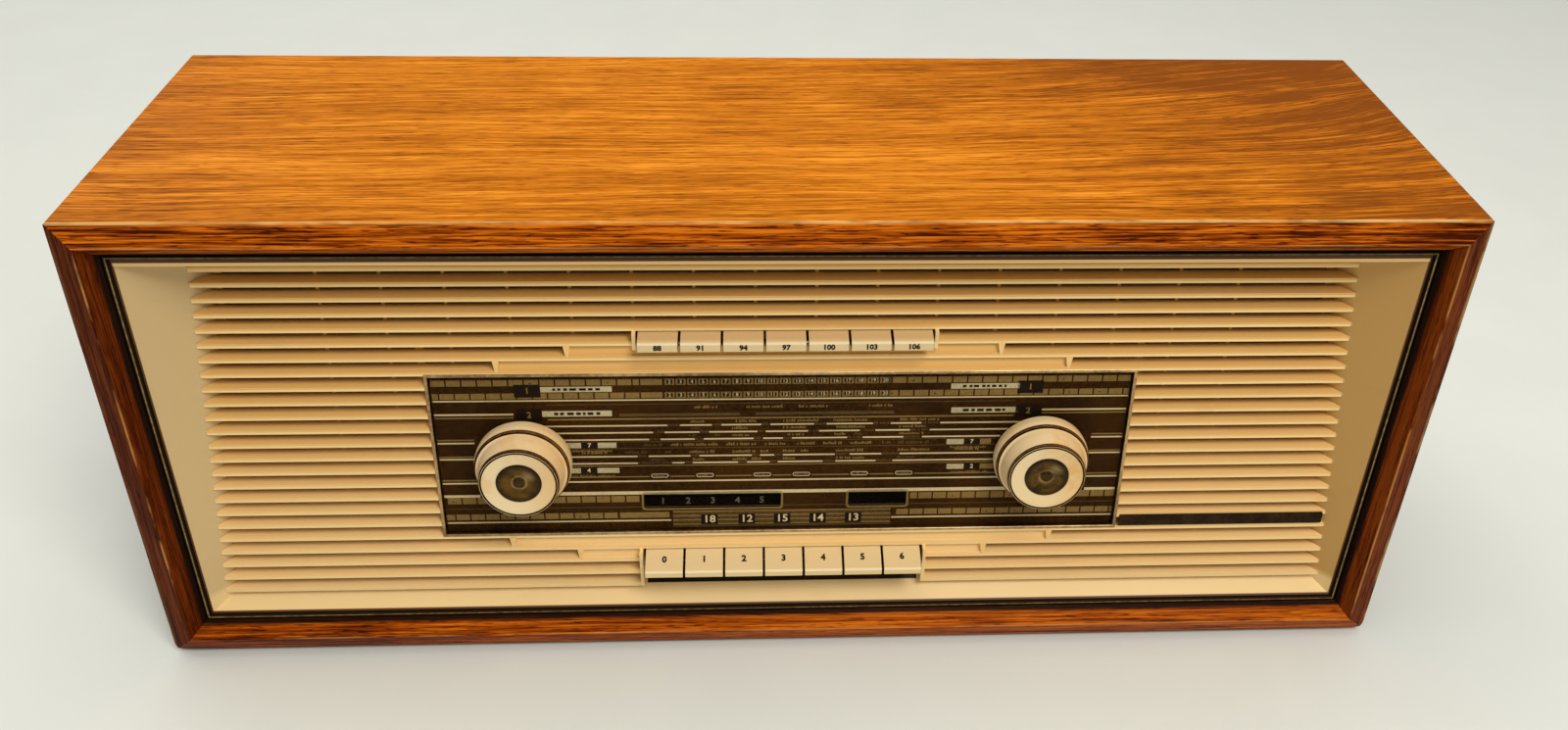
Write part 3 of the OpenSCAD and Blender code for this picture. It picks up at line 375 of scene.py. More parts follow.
# Metals, boards, plastics and papers: light, dark, roughness and what differs from plainLook
plainLook = dict(
    stretch=(1, 1, 1), fine=500, broad=18, grain=0.8, cast=0.8, metal=0, roughGrain=0.2, coat=0, specular=0.5,
    bump=0.25, bumpHigh=0.0002)
matt = {"specular": 0.06}
recipes = dict(
    pineBlock=((0.66, 0.47, 0.26), (0.45, 0.28, 0.12), 0.6, dict(stretch=(1, 1, 0.08), fine=700)),
    footRubber=((0.05, 0.045, 0.04), (0.022, 0.02, 0.018), 0.8),
    brassBeadPlain=((0.58, 0.4, 0.17), (0.3, 0.18, 0.07), 0.38, dict(metal=1, fine=320, cast=1.2)),
    darkLiner=((0.016, 0.008, 0.003), (0.007, 0.004, 0.002), 0.6, matt),
    stainedBoard=((0.1, 0.06, 0.03), (0.04, 0.025, 0.014), 0.8, matt),
    rimBrass=((0.55, 0.38, 0.18), (0.24, 0.14, 0.06), 0.36, dict(metal=1, fine=420, cast=1.2)),
    zincSteel=((0.55, 0.54, 0.5), (0.36, 0.35, 0.32), 0.42, dict(metal=1, stretch=(0.1, 1, 1))),
    blackPlate=((0.008, 0.005, 0.003), (0.004, 0.003, 0.002), 0.7, matt),
    brownBakelite=((0.075, 0.03, 0.014), (0.03, 0.012, 0.007), 0.28, dict(coat=0.3, broad=60)),
    dullAluminium=((0.66, 0.66, 0.64), (0.46, 0.46, 0.45), 0.42, dict(metal=1, stretch=(1, 1, 0.1))),
    corePlates=((0.1, 0.09, 0.085), (0.045, 0.042, 0.04), 0.55, dict(metal=0.4, stretch=(1, 1, 0.06))),
    greyBasket=((0.2, 0.2, 0.19), (0.13, 0.13, 0.125), 0.5),
    conePaper=((0.05, 0.045, 0.04), (0.025, 0.022, 0.02), 0.9, {"bump": 0.6}),
    greyFerrite=((0.08, 0.075, 0.075), (0.045, 0.04, 0.04), 0.7),
    hardboard=((0.235, 0.118, 0.052), (0.12, 0.058, 0.025), 0.62, dict(fine=260, broad=12, bump=0.5)),
    waxedCord=((0.62, 0.52, 0.32), (0.36, 0.28, 0.15), 0.8, {"fine": 2600}),
    pointerRed=((0.55, 0.045, 0.025), (0.38, 0.03, 0.02), 0.4),
    stripBlack=((0.04, 0.02, 0.007), (0.014, 0.007, 0.003), 0.4, dict(specular=0.04, broad=70)),
    dialPanel=((0.054, 0.02, 0.002), (0.02, 0.007, 0.001), 0.6, dict(specular=0.03, bump=0.04)),
    printCream=((0.8, 0.62, 0.32), (0.6, 0.45, 0.2), 0.5, {"fine": 900}),
    printPale=((0.58, 0.48, 0.27), (0.36, 0.28, 0.13), 0.5, {"fine": 900}),
    printOlive=((0.29, 0.175, 0.048), (0.195, 0.115, 0.03), 0.5, {**matt, "fine": 700}),
    printDim=((0.125, 0.072, 0.022), (0.075, 0.042, 0.012), 0.5, {**matt, "fine": 700}),
    printGrey=((0.17, 0.15, 0.11), (0.11, 0.095, 0.07), 0.5, matt),
    printBlack=((0.016, 0.008, 0.003), (0.008, 0.004, 0.002), 0.5, matt),
    keyInk=((0.02, 0.012, 0.006), (0.01, 0.006, 0.003), 0.5, matt),
    bandBronze=((0.25, 0.105, 0.026), (0.075, 0.028, 0.006), 0.45,
                dict(specular=0.1, metal=0.15, fine=420, cast=1.3)),
    bandGroove=((0.02, 0.007, 0.002), (0.009, 0.003, 0.001), 0.6, {"specular": 0.03}),
    floorPaper=((0.735, 0.75, 0.695), (0.715, 0.73, 0.677), 0.9, dict(fine=4, bump=0)))


def plainFinish(name, light, dark, rough, changes=None):
    look = {**plainLook, **(changes or {})}
    f = Finish(name)
    fine = f.noise(look["fine"], 3, 0.6, stretch=look["stretch"])
    broad = f.noise(look["broad"], 3, 0.55)
    mixed = (fine - 0.5) * look["grain"] + (broad - 0.5) * look["cast"] + 0.5
    colour = f.mix(mixed.lift(0.25, 0.75), dark, light)
    return f.done(colour=colour, rough=rough + (fine - 0.5) * look["roughGrain"], metal=look["metal"],
                  coat=look["coat"], specular=look["specular"], normal=f.bump(fine, look["bump"], look["bumpHigh"]))


bead = dict(
    inset=0.0203, shadeUnderTop=0.55, base=(0.014, 0.008, 0.003), bright=(0.4, 0.26, 0.095), dull=(0.19, 0.115, 0.036))


def beadFinish():  # a thin brass line, dark along its edges, with painted shade under the top
    f = Finish("brassBead")
    x, y, z = f.split()
    inset = insetOf(abs(x), z)
    # painted shade: the line darkened under the top board
    line = inset.near(bead["inset"], 0.00042, 0.00018) * (1 - z.lift(0.244, 0.247) * bead["shadeUnderTop"])
    tarnish = f.noise(320, 3, 0.6).lift(0.3, 0.7)
    colour = f.mix(line, bead["base"], f.mix(tarnish, bead["bright"], bead["dull"]))
    return f.done(colour=colour, rough=0.42 + tarnish * 0.12, metal=line * 0.7, specular=0.1,
                  normal=f.bump(tarnish, 0.2, 0.0001))


cloth = dict(threads=4400, weave=0.7, dust=0.3, dark=(0.016, 0.01, 0.006), light=(0.075, 0.048, 0.026))


def clothFinish():
    f = Finish("speakerWeave")
    x, y, z = f.split()
    weave = (x * cloth["threads"]).work("SINE") * (z * cloth["threads"]).work("SINE")
    tint = weave.lift(-0.4, 0.9) * cloth["weave"] + f.noise(60, 3).lift(0.3, 0.7) * cloth["dust"]
    return f.done(colour=f.mix(tint, cloth["dark"], cloth["light"]), rough=0.9, specular=0.2,
                  normal=f.bump(weave, 0.6, 0.0003))


glasses = dict(  # tint, opacity, roughness
    dialGlass=((0.02, 0.008, 0.001), 0.035, 0.34), valveGlass=((0.7, 0.74, 0.74), 0.35, 0.05),
    lampGlass=((0.95, 0.86, 0.6), 0.55, 0.08))


def glassFinish(name, tint, alpha, rough):
    f = Finish(name)
    smear = f.noise(14, 4, 0.6, stretch=(0.6, 1, 1))
    return f.done(colour=tint, rough=rough + smear.lift(0.45, 0.8) * 0.12, alpha=alpha, specular=0.3)


bronze = dict(  # reach is from the knob's axis; a painted highlight lies as a patch above and to the right of it
    rings=5200, dark=(0.034, 0.016, 0.002), light=(0.15, 0.074, 0.01), ring=0.0046, ringWander=0.0016, swirlHighlightPart=0.6,
    swirlHighlightTint=(0.44, 0.29, 0.1), highlightX=0.0048, highlightV=0.0042, highlight=0.3, highlightTint=(0.4, 0.28, 0.12), middle=0.6,
    middleTint=(0.03, 0.013, 0.003), rim=0.75, rimShadeTint=(0.018, 0.009, 0.003))


def bronzeFinish():  # spun, tarnished bronze
    f = Finish("spunBronze")
    x, y, z = f.split()
    axis = frontPlace @ Vector((0, 0, front["knobV"]))
    across = abs(x) - front["knobX"] * mm
    up = (y - axis.y) * math.sin(front["tilt"]) + (z - axis.z) * math.cos(front["tilt"])
    reach = (across * across + up * up) ** 0.5
    spun = (reach * bronze["rings"]).work("SINE") * 0.5 + 0.5
    patina = f.noise(110, 4, 0.6, twist=0.6).lift(0.3, 0.7)
    ring = (reach + f.noise(240, 2, 0.5) * bronze["ringWander"]).near(bronze["ring"], 0.0009, 0.0002)
    # painted highlight: a bright patch above and to the right of the axis
    right, above = across * x.work("SIGN") - bronze["highlightX"], up - bronze["highlightV"]
    highlight = ((right * right + above * above) ** 0.5).lift(0.005, 0.0006)
    colour = f.mix(patina, bronze["dark"], bronze["light"])
    colour = f.mix(highlight * (bronze["highlight"] + patina * bronze["highlight"]), colour, bronze["highlightTint"])
    colour = f.mix(reach.lift(0.0038, 0.0024) * bronze["middle"], colour, bronze["middleTint"])
    # painted highlight: a bright, wandering ring near the middle of the cap
    colour = f.mix(ring * patina * bronze["swirlHighlightPart"], colour, bronze["swirlHighlightTint"])
    # painted shade: the cap darker towards its rim
    colour = f.mix(reach.lift(0.0074, 0.0106) * bronze["rim"], colour, bronze["rimShadeTint"])
    return f.done(colour=colour, rough=0.24 + patina * 0.18 + spun * 0.05, metal=0.85, specular=0.5,
                  normal=f.bump(spun * 0.5 + patina, 0.3, 0.00008))


made = {name: plainFinish(name, *recipe) for name, recipe in recipes.items()}
for name, board in woodBoards.items():
    made[name] = woodFinish(name, *board)
made["creamFront"] = creamFinish("creamFront", True)
for name, changes in creams.items():
    made[name] = creamFinish(name, **changes)
made["brassBead"] = beadFinish()
made["speakerWeave"] = clothFinish()
for name, glass in glasses.items():
    made[name] = glassFinish(name, *glass)
made["spunBronze"] = bronzeFinish()
print("finishes")

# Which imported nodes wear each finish
wearers = dict(
    veneerTop="cabinet_top", veneerBottom="cabinet_bottom", veneerLeft="cabinet_left_side",
    veneerRight="cabinet_right_side", pineBlock="glue_blocks", footRubber="feet", brassBead="trim_bead",
    darkLiner="trim_liner", creamFront="front_surround louvre_grille", speakerWeave="speaker_cloth",
    stainedBoard="baffle_board", rimBrass="dial_rim", dialGlass="dial_glass", blackPlate="dial_plate",
    stripBlack="dark_strip", creamKnob="volume_knob tone_ring fm_knob am_ring",
    spunBronze="volume_cap fm_cap", pointerRed="am_pointer fm_pointer", waxedCord="dial_cords",
    zincSteel="key_frames key_springs volume_spindle fm_spindle pointer_rails chassis screws",
    brownBakelite="control_pot am_pulley fm_pulley rear_sockets",
    dullAluminium="tuning_capacitor capacitor_rotor screening_cans", valveGlass="valves",
    corePlates="transformers", greyBasket="loudspeakers", conePaper="speaker_cones",
    greyFerrite="ferrite_aerial", lampGlass="dial_lamps", hardboard="back_cover",
    creamStationKey=" ".join("station_key_%d" % number for number in range(1, 8)),
    creamBandKey=" ".join("band_key_%d" % number for number in range(1, 8)))
for finishName, nodeNames in wearers.items():
    for nodeName in nodeNames.split():
        nodes[nodeName].data.materials.clear()
        nodes[nodeName].data.materials.append(made[finishName])


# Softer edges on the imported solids
def soften(name, width, segments=2, angle=32):
    thing = nodes[name]
    weld = thing.modifiers.new("weld", "WELD")
    weld.merge_threshold = 1e-6
    bevel = thing.modifiers.new("bevel", "BEVEL")
    bevel.width, bevel.segments, bevel.limit_method = width * mm, segments, "ANGLE"
    bevel.angle_limit = math.radians(angle)
    bevel.use_clamp_overlap = True
    bevel.harden_normals = False


for number in range(1, 8):
    soften("station_key_%d" % number, 0.7, 3)
    soften("band_key_%d" % number, 0.7, 3)
for nodeName in ("cabinet_top", "cabinet_bottom", "cabinet_left_side", "cabinet_right_side"):
    soften(nodeName, 0.35, 2, 20)
soften("dark_strip", 0.3)
soften("dial_rim", 0.12, 1)
soften("back_cover", 0.3, 1)
print("packed nodes dressed")


# Mesh helpers: shapes are written in mm, then set in place
def addPiece(name, mesh, finish, body="cabinet", place=frontPlace):
    mesh.transform(place)
    piece = bpy.data.objects.new(name, mesh)
    link(piece)
    mesh.materials.clear()
    mesh.materials.append(made[finish])
    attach(piece, body)


def finishMesh(shape, name, smooth=False):
    bmesh.ops.recalc_face_normals(shape, faces=shape.faces)
    mesh = bpy.data.meshes.new(name)
    shape.to_mesh(mesh)
    shape.free()
    if smooth:
        mesh.shade_smooth()
        mesh.set_sharp_from_angle(angle=math.radians(smooth))
    return mesh


def addBox(shape, low, high):
    across, deep, tall = zip(low, high)
    corners = [shape.verts.new((x, y, z)) for x in across for y in deep for z in tall]
    for face in ((0, 1, 3, 2), (4, 6, 7, 5), (0, 4, 5, 1), (2, 3, 7, 6), (0, 2, 6, 4), (1, 5, 7, 3)):
        shape.faces.new([corners[i] for i in face])


def disc(x, v, radius, steps=48):
    turns = [a * math.tau / steps for a in range(steps)]
    return [(x + radius * math.cos(turn), v + radius * math.sin(turn)) for turn in turns]


def turned(name, profile, steps=96):  # a closed profile of radius and height, turned round Z
    shape = bmesh.new()
    rings = []
    for radius, height in profile:
        if radius == 0:
            rings.append([shape.verts.new((0, 0, height))])
        else:
            rings.append([shape.verts.new((x, y, height)) for x, y in disc(0, 0, radius, steps)])
    for first, second in zip(rings, rings[1:] + rings[:1]):
        if len(first) == 1 and len(second) == 1:
            continue
        for a in range(steps):
            b = (a + 1) % steps
            corners = [first[a % len(first)], first[b % len(first)], second[b % len(second)], second[a % len(second)]]
            corners = [v for i, v in enumerate(corners) if v not in corners[:i]]
            shape.faces.new(corners)
    return finishMesh(shape, name, 40)


def meshOf(data, name):
    holder = bpy.data.objects.new(name, data)
    link(holder)
    bpy.context.view_layer.update()
    mesh = bpy.data.meshes.new_from_object(holder.evaluated_get(bpy.context.evaluated_depsgraph_get()))
    bpy.data.objects.remove(holder)
    return mesh


def cutSheet(name, outlines, low, high):  # a flat sheet of x and height outlines, from one depth to another
    curve = bpy.data.curves.new(name, "CURVE")
    curve.dimensions, curve.fill_mode, curve.extrude = "2D", "BOTH", (high - low) / 2
    for points in outlines:
        spline = curve.splines.new("POLY")
        spline.points.add(len(points) - 1)
        spline.use_cyclic_u = True
        for point, (x, v) in zip(spline.points, points):
            point.co = (x, v, 0, 1)
    mesh = meshOf(curve, name)
    mesh.transform(Matrix.Translation((0, (low + high) / 2, 0)) @ upright)
    return mesh


figureThick = 0.03


def words(text, size, bold):  # plain figures in the XY plane, centred
    curve = bpy.data.curves.new("figures", "FONT")
    curve.body, curve.size, curve.align_x, curve.align_y = text, size, "CENTER", "CENTER"
    curve.extrude, curve.offset, curve.resolution_u = figureThick, bold, 2
    return meshOf(curve, "figures")


def roundedOutline(low, high, radius, steps=5):
    left, right, bottom, top = low[0] + radius, high[0] - radius, low[1] + radius, high[1] - radius
    points = []
    for quarter, (x, v) in enumerate(((right, top), (left, top), (left, bottom), (right, bottom))):
        for step in range(steps + 1):
            angle = (quarter + step / steps) * math.pi / 2
            points.append((x + radius * math.cos(angle), v + radius * math.sin(angle)))
    return points


# Dial: black panel behind the glass with windows for the pointers, and the print in front of it
dial = dict(x=176.9, low=35.2, high=132.9, panel=(3.1, 3.3), print=(3.02, 3.08), margin=0.4, spindleHole=8.2)
windows = dict(
    places=((-73.5, -1.5, 48.2, 57.6), (34, 65, 48.2, 57.6)), corner=1.2, frame=1.1, frameCorner=1.9,
    figureV=52.9, look=(5.6, 0.08), figures=(("1", -63.5), ("2", -50.3), ("3", -37.4), ("4", -24.4), ("5", -11.6)))


class Print:  # bars of one ink, gathered into one mesh
    def __init__(self):
        self.shape = bmesh.new()

    def bar(self, left, right, low, high, lift=0):
        addBox(self.shape, (left, dial["print"][0] - lift, low), (right, dial["print"][1] - lift, high))

    def line(self, left, right, v, width):
        self.bar(left, right, v - width / 2, v + width / 2)

    def figures(self, text, x, v, size, bold, lift=0):
        mesh = words(text, size, bold)
        mesh.transform(Matrix.Translation((x, dial["print"][0] + figureThick - lift, v)) @ upright)
        self.shape.from_mesh(mesh)

    def strips(self, outlines):
        self.shape.from_mesh(cutSheet("strip", outlines, *dial["print"]))


inks = {name: Print() for name in ("printCream", "printPale", "printOlive", "printDim", "printGrey", "printBlack")}
cream, pale, olive, dim, grey, black = inks.values()
edge = dial["x"] - dial["margin"]
pick = random.Random(5)

tick = dict(wide=(0.45, 0.95), heights=(0.62, 0.8, 1), gap=0.32, wideGap=1.1, often=0.85, end=0.5)


def marks(v, height, left, right, ink=olive):  # a run of small plain ticks, in groups
    x = left
    while x < right - tick["end"]:
        width = pick.uniform(*tick["wide"])
        short = height * pick.choice(tick["heights"])
        ink.bar(x, x + width, v - height / 2, v - height / 2 + short)
        x += width + (tick["gap"] if pick.random() < tick["often"] else tick["wideGap"])


# Rows of cells near the top edge and near the bottom edge: low, high, start and the stretch left bare
cells = dict(
    wide=6.9, pitch=7.7, least=1, chips=0.12, chip=(2.2, 3.4, 1.2, 1.7), chipLift=0.08,
    extra=(-86.3, -60.4, 42.2, 45.8),
    rows=((125.4, 129, 0, (-73.4, 51.5)), (117.6, 121, 3.8, (-73.4, 51.5)),
          (52.6, 56.6, 1.5, (-75.8, 67)), (42.2, 45.8, 5, (-87, 60))))
numbered = dict(
    rows=((125.4, 129), (117.6, 121)), lead=(-72.6, -61.8), start=-60.6, end=50, first=2, wide=4.9, wider=5.6,
    gap=0.75, inset=(0.9, 0.55), lift=0.05, look=(2.9, 0, 0.12))


def addCells():
    for low, high, start, (gapLeft, gapRight) in cells["rows"]:
        x = -edge + start - cells["pitch"]
        while x < edge:
            left, right = max(x, -edge), min(x + cells["wide"], edge)
            x += cells["pitch"]
            if left < gapLeft:
                right = min(right, gapLeft)
            else:
                left = max(left, min(right, gapRight))
            if right - left > cells["least"]:
                olive.bar(left, right, low, high)
                if pick.random() < cells["chips"]:
                    chip = cells["chip"]
                    black.bar(left + chip[0], left + chip[1], low + chip[2], low + chip[3], cells["chipLift"])
    olive.bar(*cells["extra"])
    insetX, insetV = numbered["inset"]
    for low, high in numbered["rows"]:
        olive.bar(*numbered["lead"], low, high)
        x, count = numbered["start"], numbered["first"]
        while x < numbered["end"]:
            width = numbered["wide"] if count < 10 else numbered["wider"]
            olive.bar(x, x + width, low, high)
            black.bar(x + insetX, x + width - insetX, low + insetV, high - insetV, numbered["lift"])
            cream.figures(str(count), x + width / 2, (low + high) / 2, *numbered["look"])
            x += width + numbered["gap"]
            count += 1


# Dark badges with pale fields beside them, left bare but for plain marks
fieldSides = (  # the badge's middle, reaches of the long fields and the short ones, ink of the short ones' ends
    (-129.2, ((-122.6, -87), (-122.6, -87.6)), ((-113.2, -86.2), (-114.2, -85.4)), pale),
    (125.3, ((84.4, 119.6), (85.4, 120.6)), ((84.2, 107.4), (85.2, 109.8)), olive))
fields = dict(
    badgeRows=(("1", 118.6, 126.2), ("2", 104.2, 111.6)), badgeHalf=6.6, badgeLook=(5, 0.08, 0.16),
    longRows=((121.6, 124.8), (106.9, 110.3)), start=6, end=7, word=(1.2, 3.4), space=(0.7, 1.6), wordInset=0.9,
    shortRows=((87.4, 90.6), (71.6, 74.8)), box=(9, 17.5), boxOver=(0.4, 0.3), boxFigure=13.2,
    boxLook=(3.6, 0.06, 0.16), boxLift=0.06, lift=0.08, printLift=0.16, tickIn=2, tickBelow=1.9, tickHigh=1.2)


def addFields():
    lift, printLift = fields["lift"], fields["printLift"]
    boxLeft, boxRight = fields["box"]
    for middle, longs, shorts, endInk in fieldSides:
        half = fields["badgeHalf"]
        for text, low, high in fields["badgeRows"]:
            black.bar(middle - half, middle + half, low, high, lift)
            olive.figures(text, middle, (low + high) / 2, *fields["badgeLook"])
        for (left, right), (low, high) in zip(longs, fields["longRows"]):
            pale.bar(left, right, low, high, lift)
            x = left + fields["start"]
            while x < right - fields["end"]:
                width = pick.uniform(*fields["word"])
                black.bar(x, x + width, low + fields["wordInset"], high - fields["wordInset"], printLift)
                x += width + pick.uniform(*fields["space"])
        for (left, right), (low, high) in zip(shorts, fields["shortRows"]):
            pale.bar(left, left + boxLeft, low, high, lift)
            black.bar(left + boxLeft, left + boxRight, low - fields["boxOver"][0], high + fields["boxOver"][1],
                      fields["boxLift"])
            cream.figures(str(pick.randint(2, 9)), left + fields["boxFigure"], (low + high) / 2, *fields["boxLook"])
            endInk.bar(left + boxRight, right, low, high, lift)
            marks(low - fields["tickBelow"], fields["tickHigh"], left + fields["tickIn"], right - fields["tickIn"])


# Long lines: left, right, height, width
longLines = {
    cream: ((-edge, edge, 116.5, 0.8), (-edge, -137, 108.4, 1), (132.5, edge, 108.4, 1), (-125, 122, 66, 0.9),
            (-125, 122, 58.5, 2.1), (-edge, -59.5, 40.4, 0.9), (57.5, edge, 40.4, 0.9)),
    dim: ((-120, 118, 114, 0.4), (-84, -23, 107.4, 1.7), (-15, 56, 107.6, 1.7), (-112, 110, 91, 0.4),
          (-112, 110, 86.9, 0.45), (-edge, edge, 49.3, 0.4)),
    olive: ((-120, 118, 105, 0.9), (-edge, -137, 106.4, 0.8), (132.5, edge, 106.4, 0.8), (-112, 110, 75.9, 0.5)),
}
outerLines = {"reach": ((-edge, -158), (160, edge)),
              olive: ((92.9, 0.8), (82.5, 0.8), (67.7, 0.8)),
              cream: ((91, 0.9), (81, 0.9), (65.8, 0.9), (57.6, 1.6))}


def addLines():
    for ink, lines in longLines.items():
        for line in lines:
            ink.line(*line)
    for left, right in outerLines["reach"]:
        for ink in (olive, cream):
            for v, width in outerLines[ink]:
                ink.line(left, right, v, width)


# Broken tuning lines between the knobs, runs of ticks over them, and small pills on the lowest one
tuning = dict(width=0.85, tickIn=0.6, tickUp=0.3, tickHigh=1.5, lines=(
    (100.9, (-125, -59.8, -53.5, -37.3, -32.4, -12, -7.3, 15.1, 21.5, 45.4, 54.6, 70.4, 80.2, 122)),
    (96.6, (-128, -67.3, -61.4, -43.6, -38.7, -14, -9.7, 12, 17.7, 38.7, 46.9, 64.7, 75, 116)),
    (92.3, (-128, -69.4, -63.6, -46.1, -41.5, -15.9, -11, -0.8, 3.8, 32.3, 40.4, 61.5, 71.2, 112)),
    (81.8, (-122, -75.7, -70, -48.5, -43.9, -16.9, -12.6, -5.3, -0.8, 26.1, 33.9, 50.5, 60, 111)),
    (77.5, (-122, -75.7, -58, -51.7, -47.5, -24, -19.4, -7.6, -3.4, 20, 26.6, 47.6, 56.5, 110))))
tickRuns = (  # height up the dial, tick height, then left and right of each run, olive unless it says dim
    (112, 1.7, ((-46, -33), (-19.6, -1), (7, 22), (43, 55))),
    (103.2, 1.5, ((-48, -41), (-25, -14), (-0.8, 17.3), (25, 42.5), (59.4, 80))),
    (99, 1.5, ((-48, -42.6, dim), (-27, -18.4), (-0.8, 12.2), (26.6, 42.5), (59, 73))),
    (94.6, 1.4, ((-49, -45, dim), (-36, -31.5, dim), (-26.8, -18), (1.5, 10), (25.7, 31.7), (36.4, 40, dim),
                 (59, 72.4))),
    (89, 1.7, ((-72.4, -63, dim), (-58.5, -34.3), (-30, -14.3), (-10, 1), (6.6, 15.4), (20, 30.3), (34, 45.4),
               (50.7, 56, dim), (59, 75, dim))),
    (84.4, 1.6, ((-104, -91), (-82, -71, dim), (-61.7, -58.4, dim), (-49, -35.7), (-26.8, -14.8), (-12.4, -8.3),
                 (-0.8, 5.2), (8.5, 12.6), (26.6, 41), (59, 75.7), (88.7, 102))),
    (79.6, 1.4, ((-69.6, -61.7, dim), (-54.7, -53.8, dim), (-47.3, -40.8), (-26.8, -19.4), (-17, -12.4),
                 (-0.8, 5.7), (27, 41.6), (59, 68.5, dim))))
pills = dict(
    x=(-64.6, -41.2, -11.4, 9, 39.4, 62.8), room=5.4, line=(-122, 118, 68.9, 0.7), outer=(4.5, 68.2, 70.6, 1.15),
    inner=(4.1, 68.55, 70.25, 0.75), ticks=(3.3, 69.4, 1))


def addTuning():
    for v, cuts in tuning["lines"]:
        for left, right in zip(cuts[::2], cuts[1::2]):
            cream.line(left, right, v, tuning["width"])
        for left, right in zip(cuts[1:-1:2], cuts[2::2]):
            marks(v + tuning["tickUp"], tuning["tickHigh"], left + tuning["tickIn"], right - tuning["tickIn"], dim)
    for v, height, runs in tickRuns:
        for run in runs:
            marks(v, height, *run)
    start, end, lineV, width = pills["line"]
    stops = [start] + [v for x in pills["x"] for v in (x - pills["room"], x + pills["room"])] + [end]
    for left, right in zip(stops[::2], stops[1::2]):
        olive.line(left, right, lineV, width)
    for x in pills["x"]:
        cream.strips([roundedOutline((x - half, low), (x + half, high), corner)
                      for half, low, high, corner in (pills["outer"], pills["inner"])])
        half, tickV, tickHigh = pills["ticks"]
        marks(tickV, tickHigh, x - half, x + half)


# Windows with a light frame and faint figures, and the lined olive strip with its five numbers
lined = dict(
    count=8, start=36.2, pitch=1.38, reach=(-58.5, 57), width=0.95, box=(4.4, 37.3, 44.1), boxLift=0.04, v=40.7,
    look=(6.6, 0.1, 0.12), figures=(("18", -39.3), ("12", -19.6), ("15", -0.8), ("14", 18.1), ("13", 37)))


def addWindows():
    for left, right, low, high in windows["places"]:
        out = windows["frame"]
        olive.strips([roundedOutline((left - out, low - out), (right + out, high + out), windows["frameCorner"]),
                      roundedOutline((left, low), (right, high), windows["corner"])])
    for text, x in windows["figures"]:
        grey.figures(text, x, windows["figureV"], *windows["look"])
    for step in range(lined["count"]):
        (olive if step % 2 else dim).line(*lined["reach"], lined["start"] + step * lined["pitch"], lined["width"])
    half, low, high = lined["box"]
    for text, x in lined["figures"]:
        black.bar(x - half, x + half, low, high, lined["boxLift"])
        cream.figures(text, x, lined["v"], *lined["look"])


def addDial():
    for addPrint in (addCells, addFields, addLines, addTuning, addWindows):
        addPrint()
    for name, ink in inks.items():
        addPiece("dial_" + name, finishMesh(ink.shape, name), name)
    wide, low, high = dial["x"], dial["low"], dial["high"]
    outlines = [[(-wide, low), (wide, low), (wide, high), (-wide, high)]]
    outlines += [roundedOutline((left, bottom), (right, top), windows["corner"])
                 for left, right, bottom, top in windows["places"]]
    outlines += [disc(side * front["knobX"], front["knobV"], dial["spindleHole"]) for side in (-1, 1)]
    panel = cutSheet("dial_panel", outlines, *dial["panel"])
    addPiece("dial_panel", panel, "dialPanel")


addDial()
print("dial")

# Knobs: bronze bands and dark grooves on the cream turnings
knob = dict(
    ringBand=[(22.4, 7.75), (24.02, 7.75), (23.86, 8.1), (23.58, 8.62), (22.4, 8.62)],
    ringGrooves=[[(22.4, 7.2), (24.1, 7.2), (23.92, 7.76), (22.4, 7.76)],
                 [(22, 8.61), (23.5, 8.61), (23.14, 9.24), (22, 9.24)]],
    knobBand=[(18.9, 18.75), (20.16, 18.75), (20.08, 19.2), (19.9, 19.56), (18.9, 19.56)],
    knobGrooves=[[(18.9, 18.15), (20.16, 18.15), (20.1, 18.76), (18.9, 18.76)],
                 [(18.4, 19.55), (19.86, 19.55), (19.4, 20.17), (18.4, 20.19)]],
    sharp=34)


def addKnob(side, ring, inner):
    place = frontPlace @ Matrix.Translation((side * front["knobX"], 0, front["knobV"])) @ upright  # z to the front
    parts = ((ring, "ring"), (inner, "knob"))
    for part, kind in parts:
        band = turned(part + "_band", knob[kind + "Band"])
        addPiece(part + "_band", band, "bandBronze", part + "_body", place)
    for part, kind in parts:
        for number, profile in enumerate(knob[kind + "Grooves"]):
            groove = turned("groove", profile)
            addPiece("%s_groove_%d" % (part, number), groove, "bandGroove", part + "_body", place)


addKnob(-1, "tone_ring", "volume_knob")
addKnob(1, "am_ring", "fm_knob")
for nodeName in ("tone_ring", "am_ring", "volume_knob", "fm_knob", "volume_cap", "fm_cap"):
    nodes[nodeName].data.shade_smooth()
    nodes[nodeName].data.set_sharp_from_angle(angle=math.radians(knob["sharp"]))
print("knobs")

# Tapered fins where the closed steps beside the dial end: louvre row and reach of each pair
fins = dict(
    steps=((16, 143.6), (17, 108.6), (3, 143.6), (2, 108.6)), top=1.7, foot=0.7, proud=0.5, footIn=0.7, deep=4.5,
    inset=0.9, under=0.4, over=0.5)


def addFins():
    shape = bmesh.new()
    for row, reach in fins["steps"]:
        low = row * front["pitch"] + front["lip"] / 2 - fins["under"]
        high = (row + 1) * front["pitch"] - front["lip"] / 2 + fins["over"]
        for side in (-1, 1):
            middle = side * (reach - fins["inset"])
            outline = [(middle - fins["top"], high), (middle + fins["top"], high),
                       (middle + fins["foot"], low), (middle - fins["foot"], low)]
            ends = [[shape.verts.new((x, depth, v)) for x, v in outline] for depth in (-fins["proud"], fins["deep"])]
            for corner in ends[0][2:]:
                corner.co.y += fins["proud"] * fins["footIn"]
            for end in ends:
                shape.faces.new(end)
            for a in range(4):
                shape.faces.new((ends[0][a], ends[0][a - 3], ends[1][a - 3], ends[1][a]))
    addPiece("step_fins", finishMesh(shape, "step_fins"), "creamFin")


addFins()

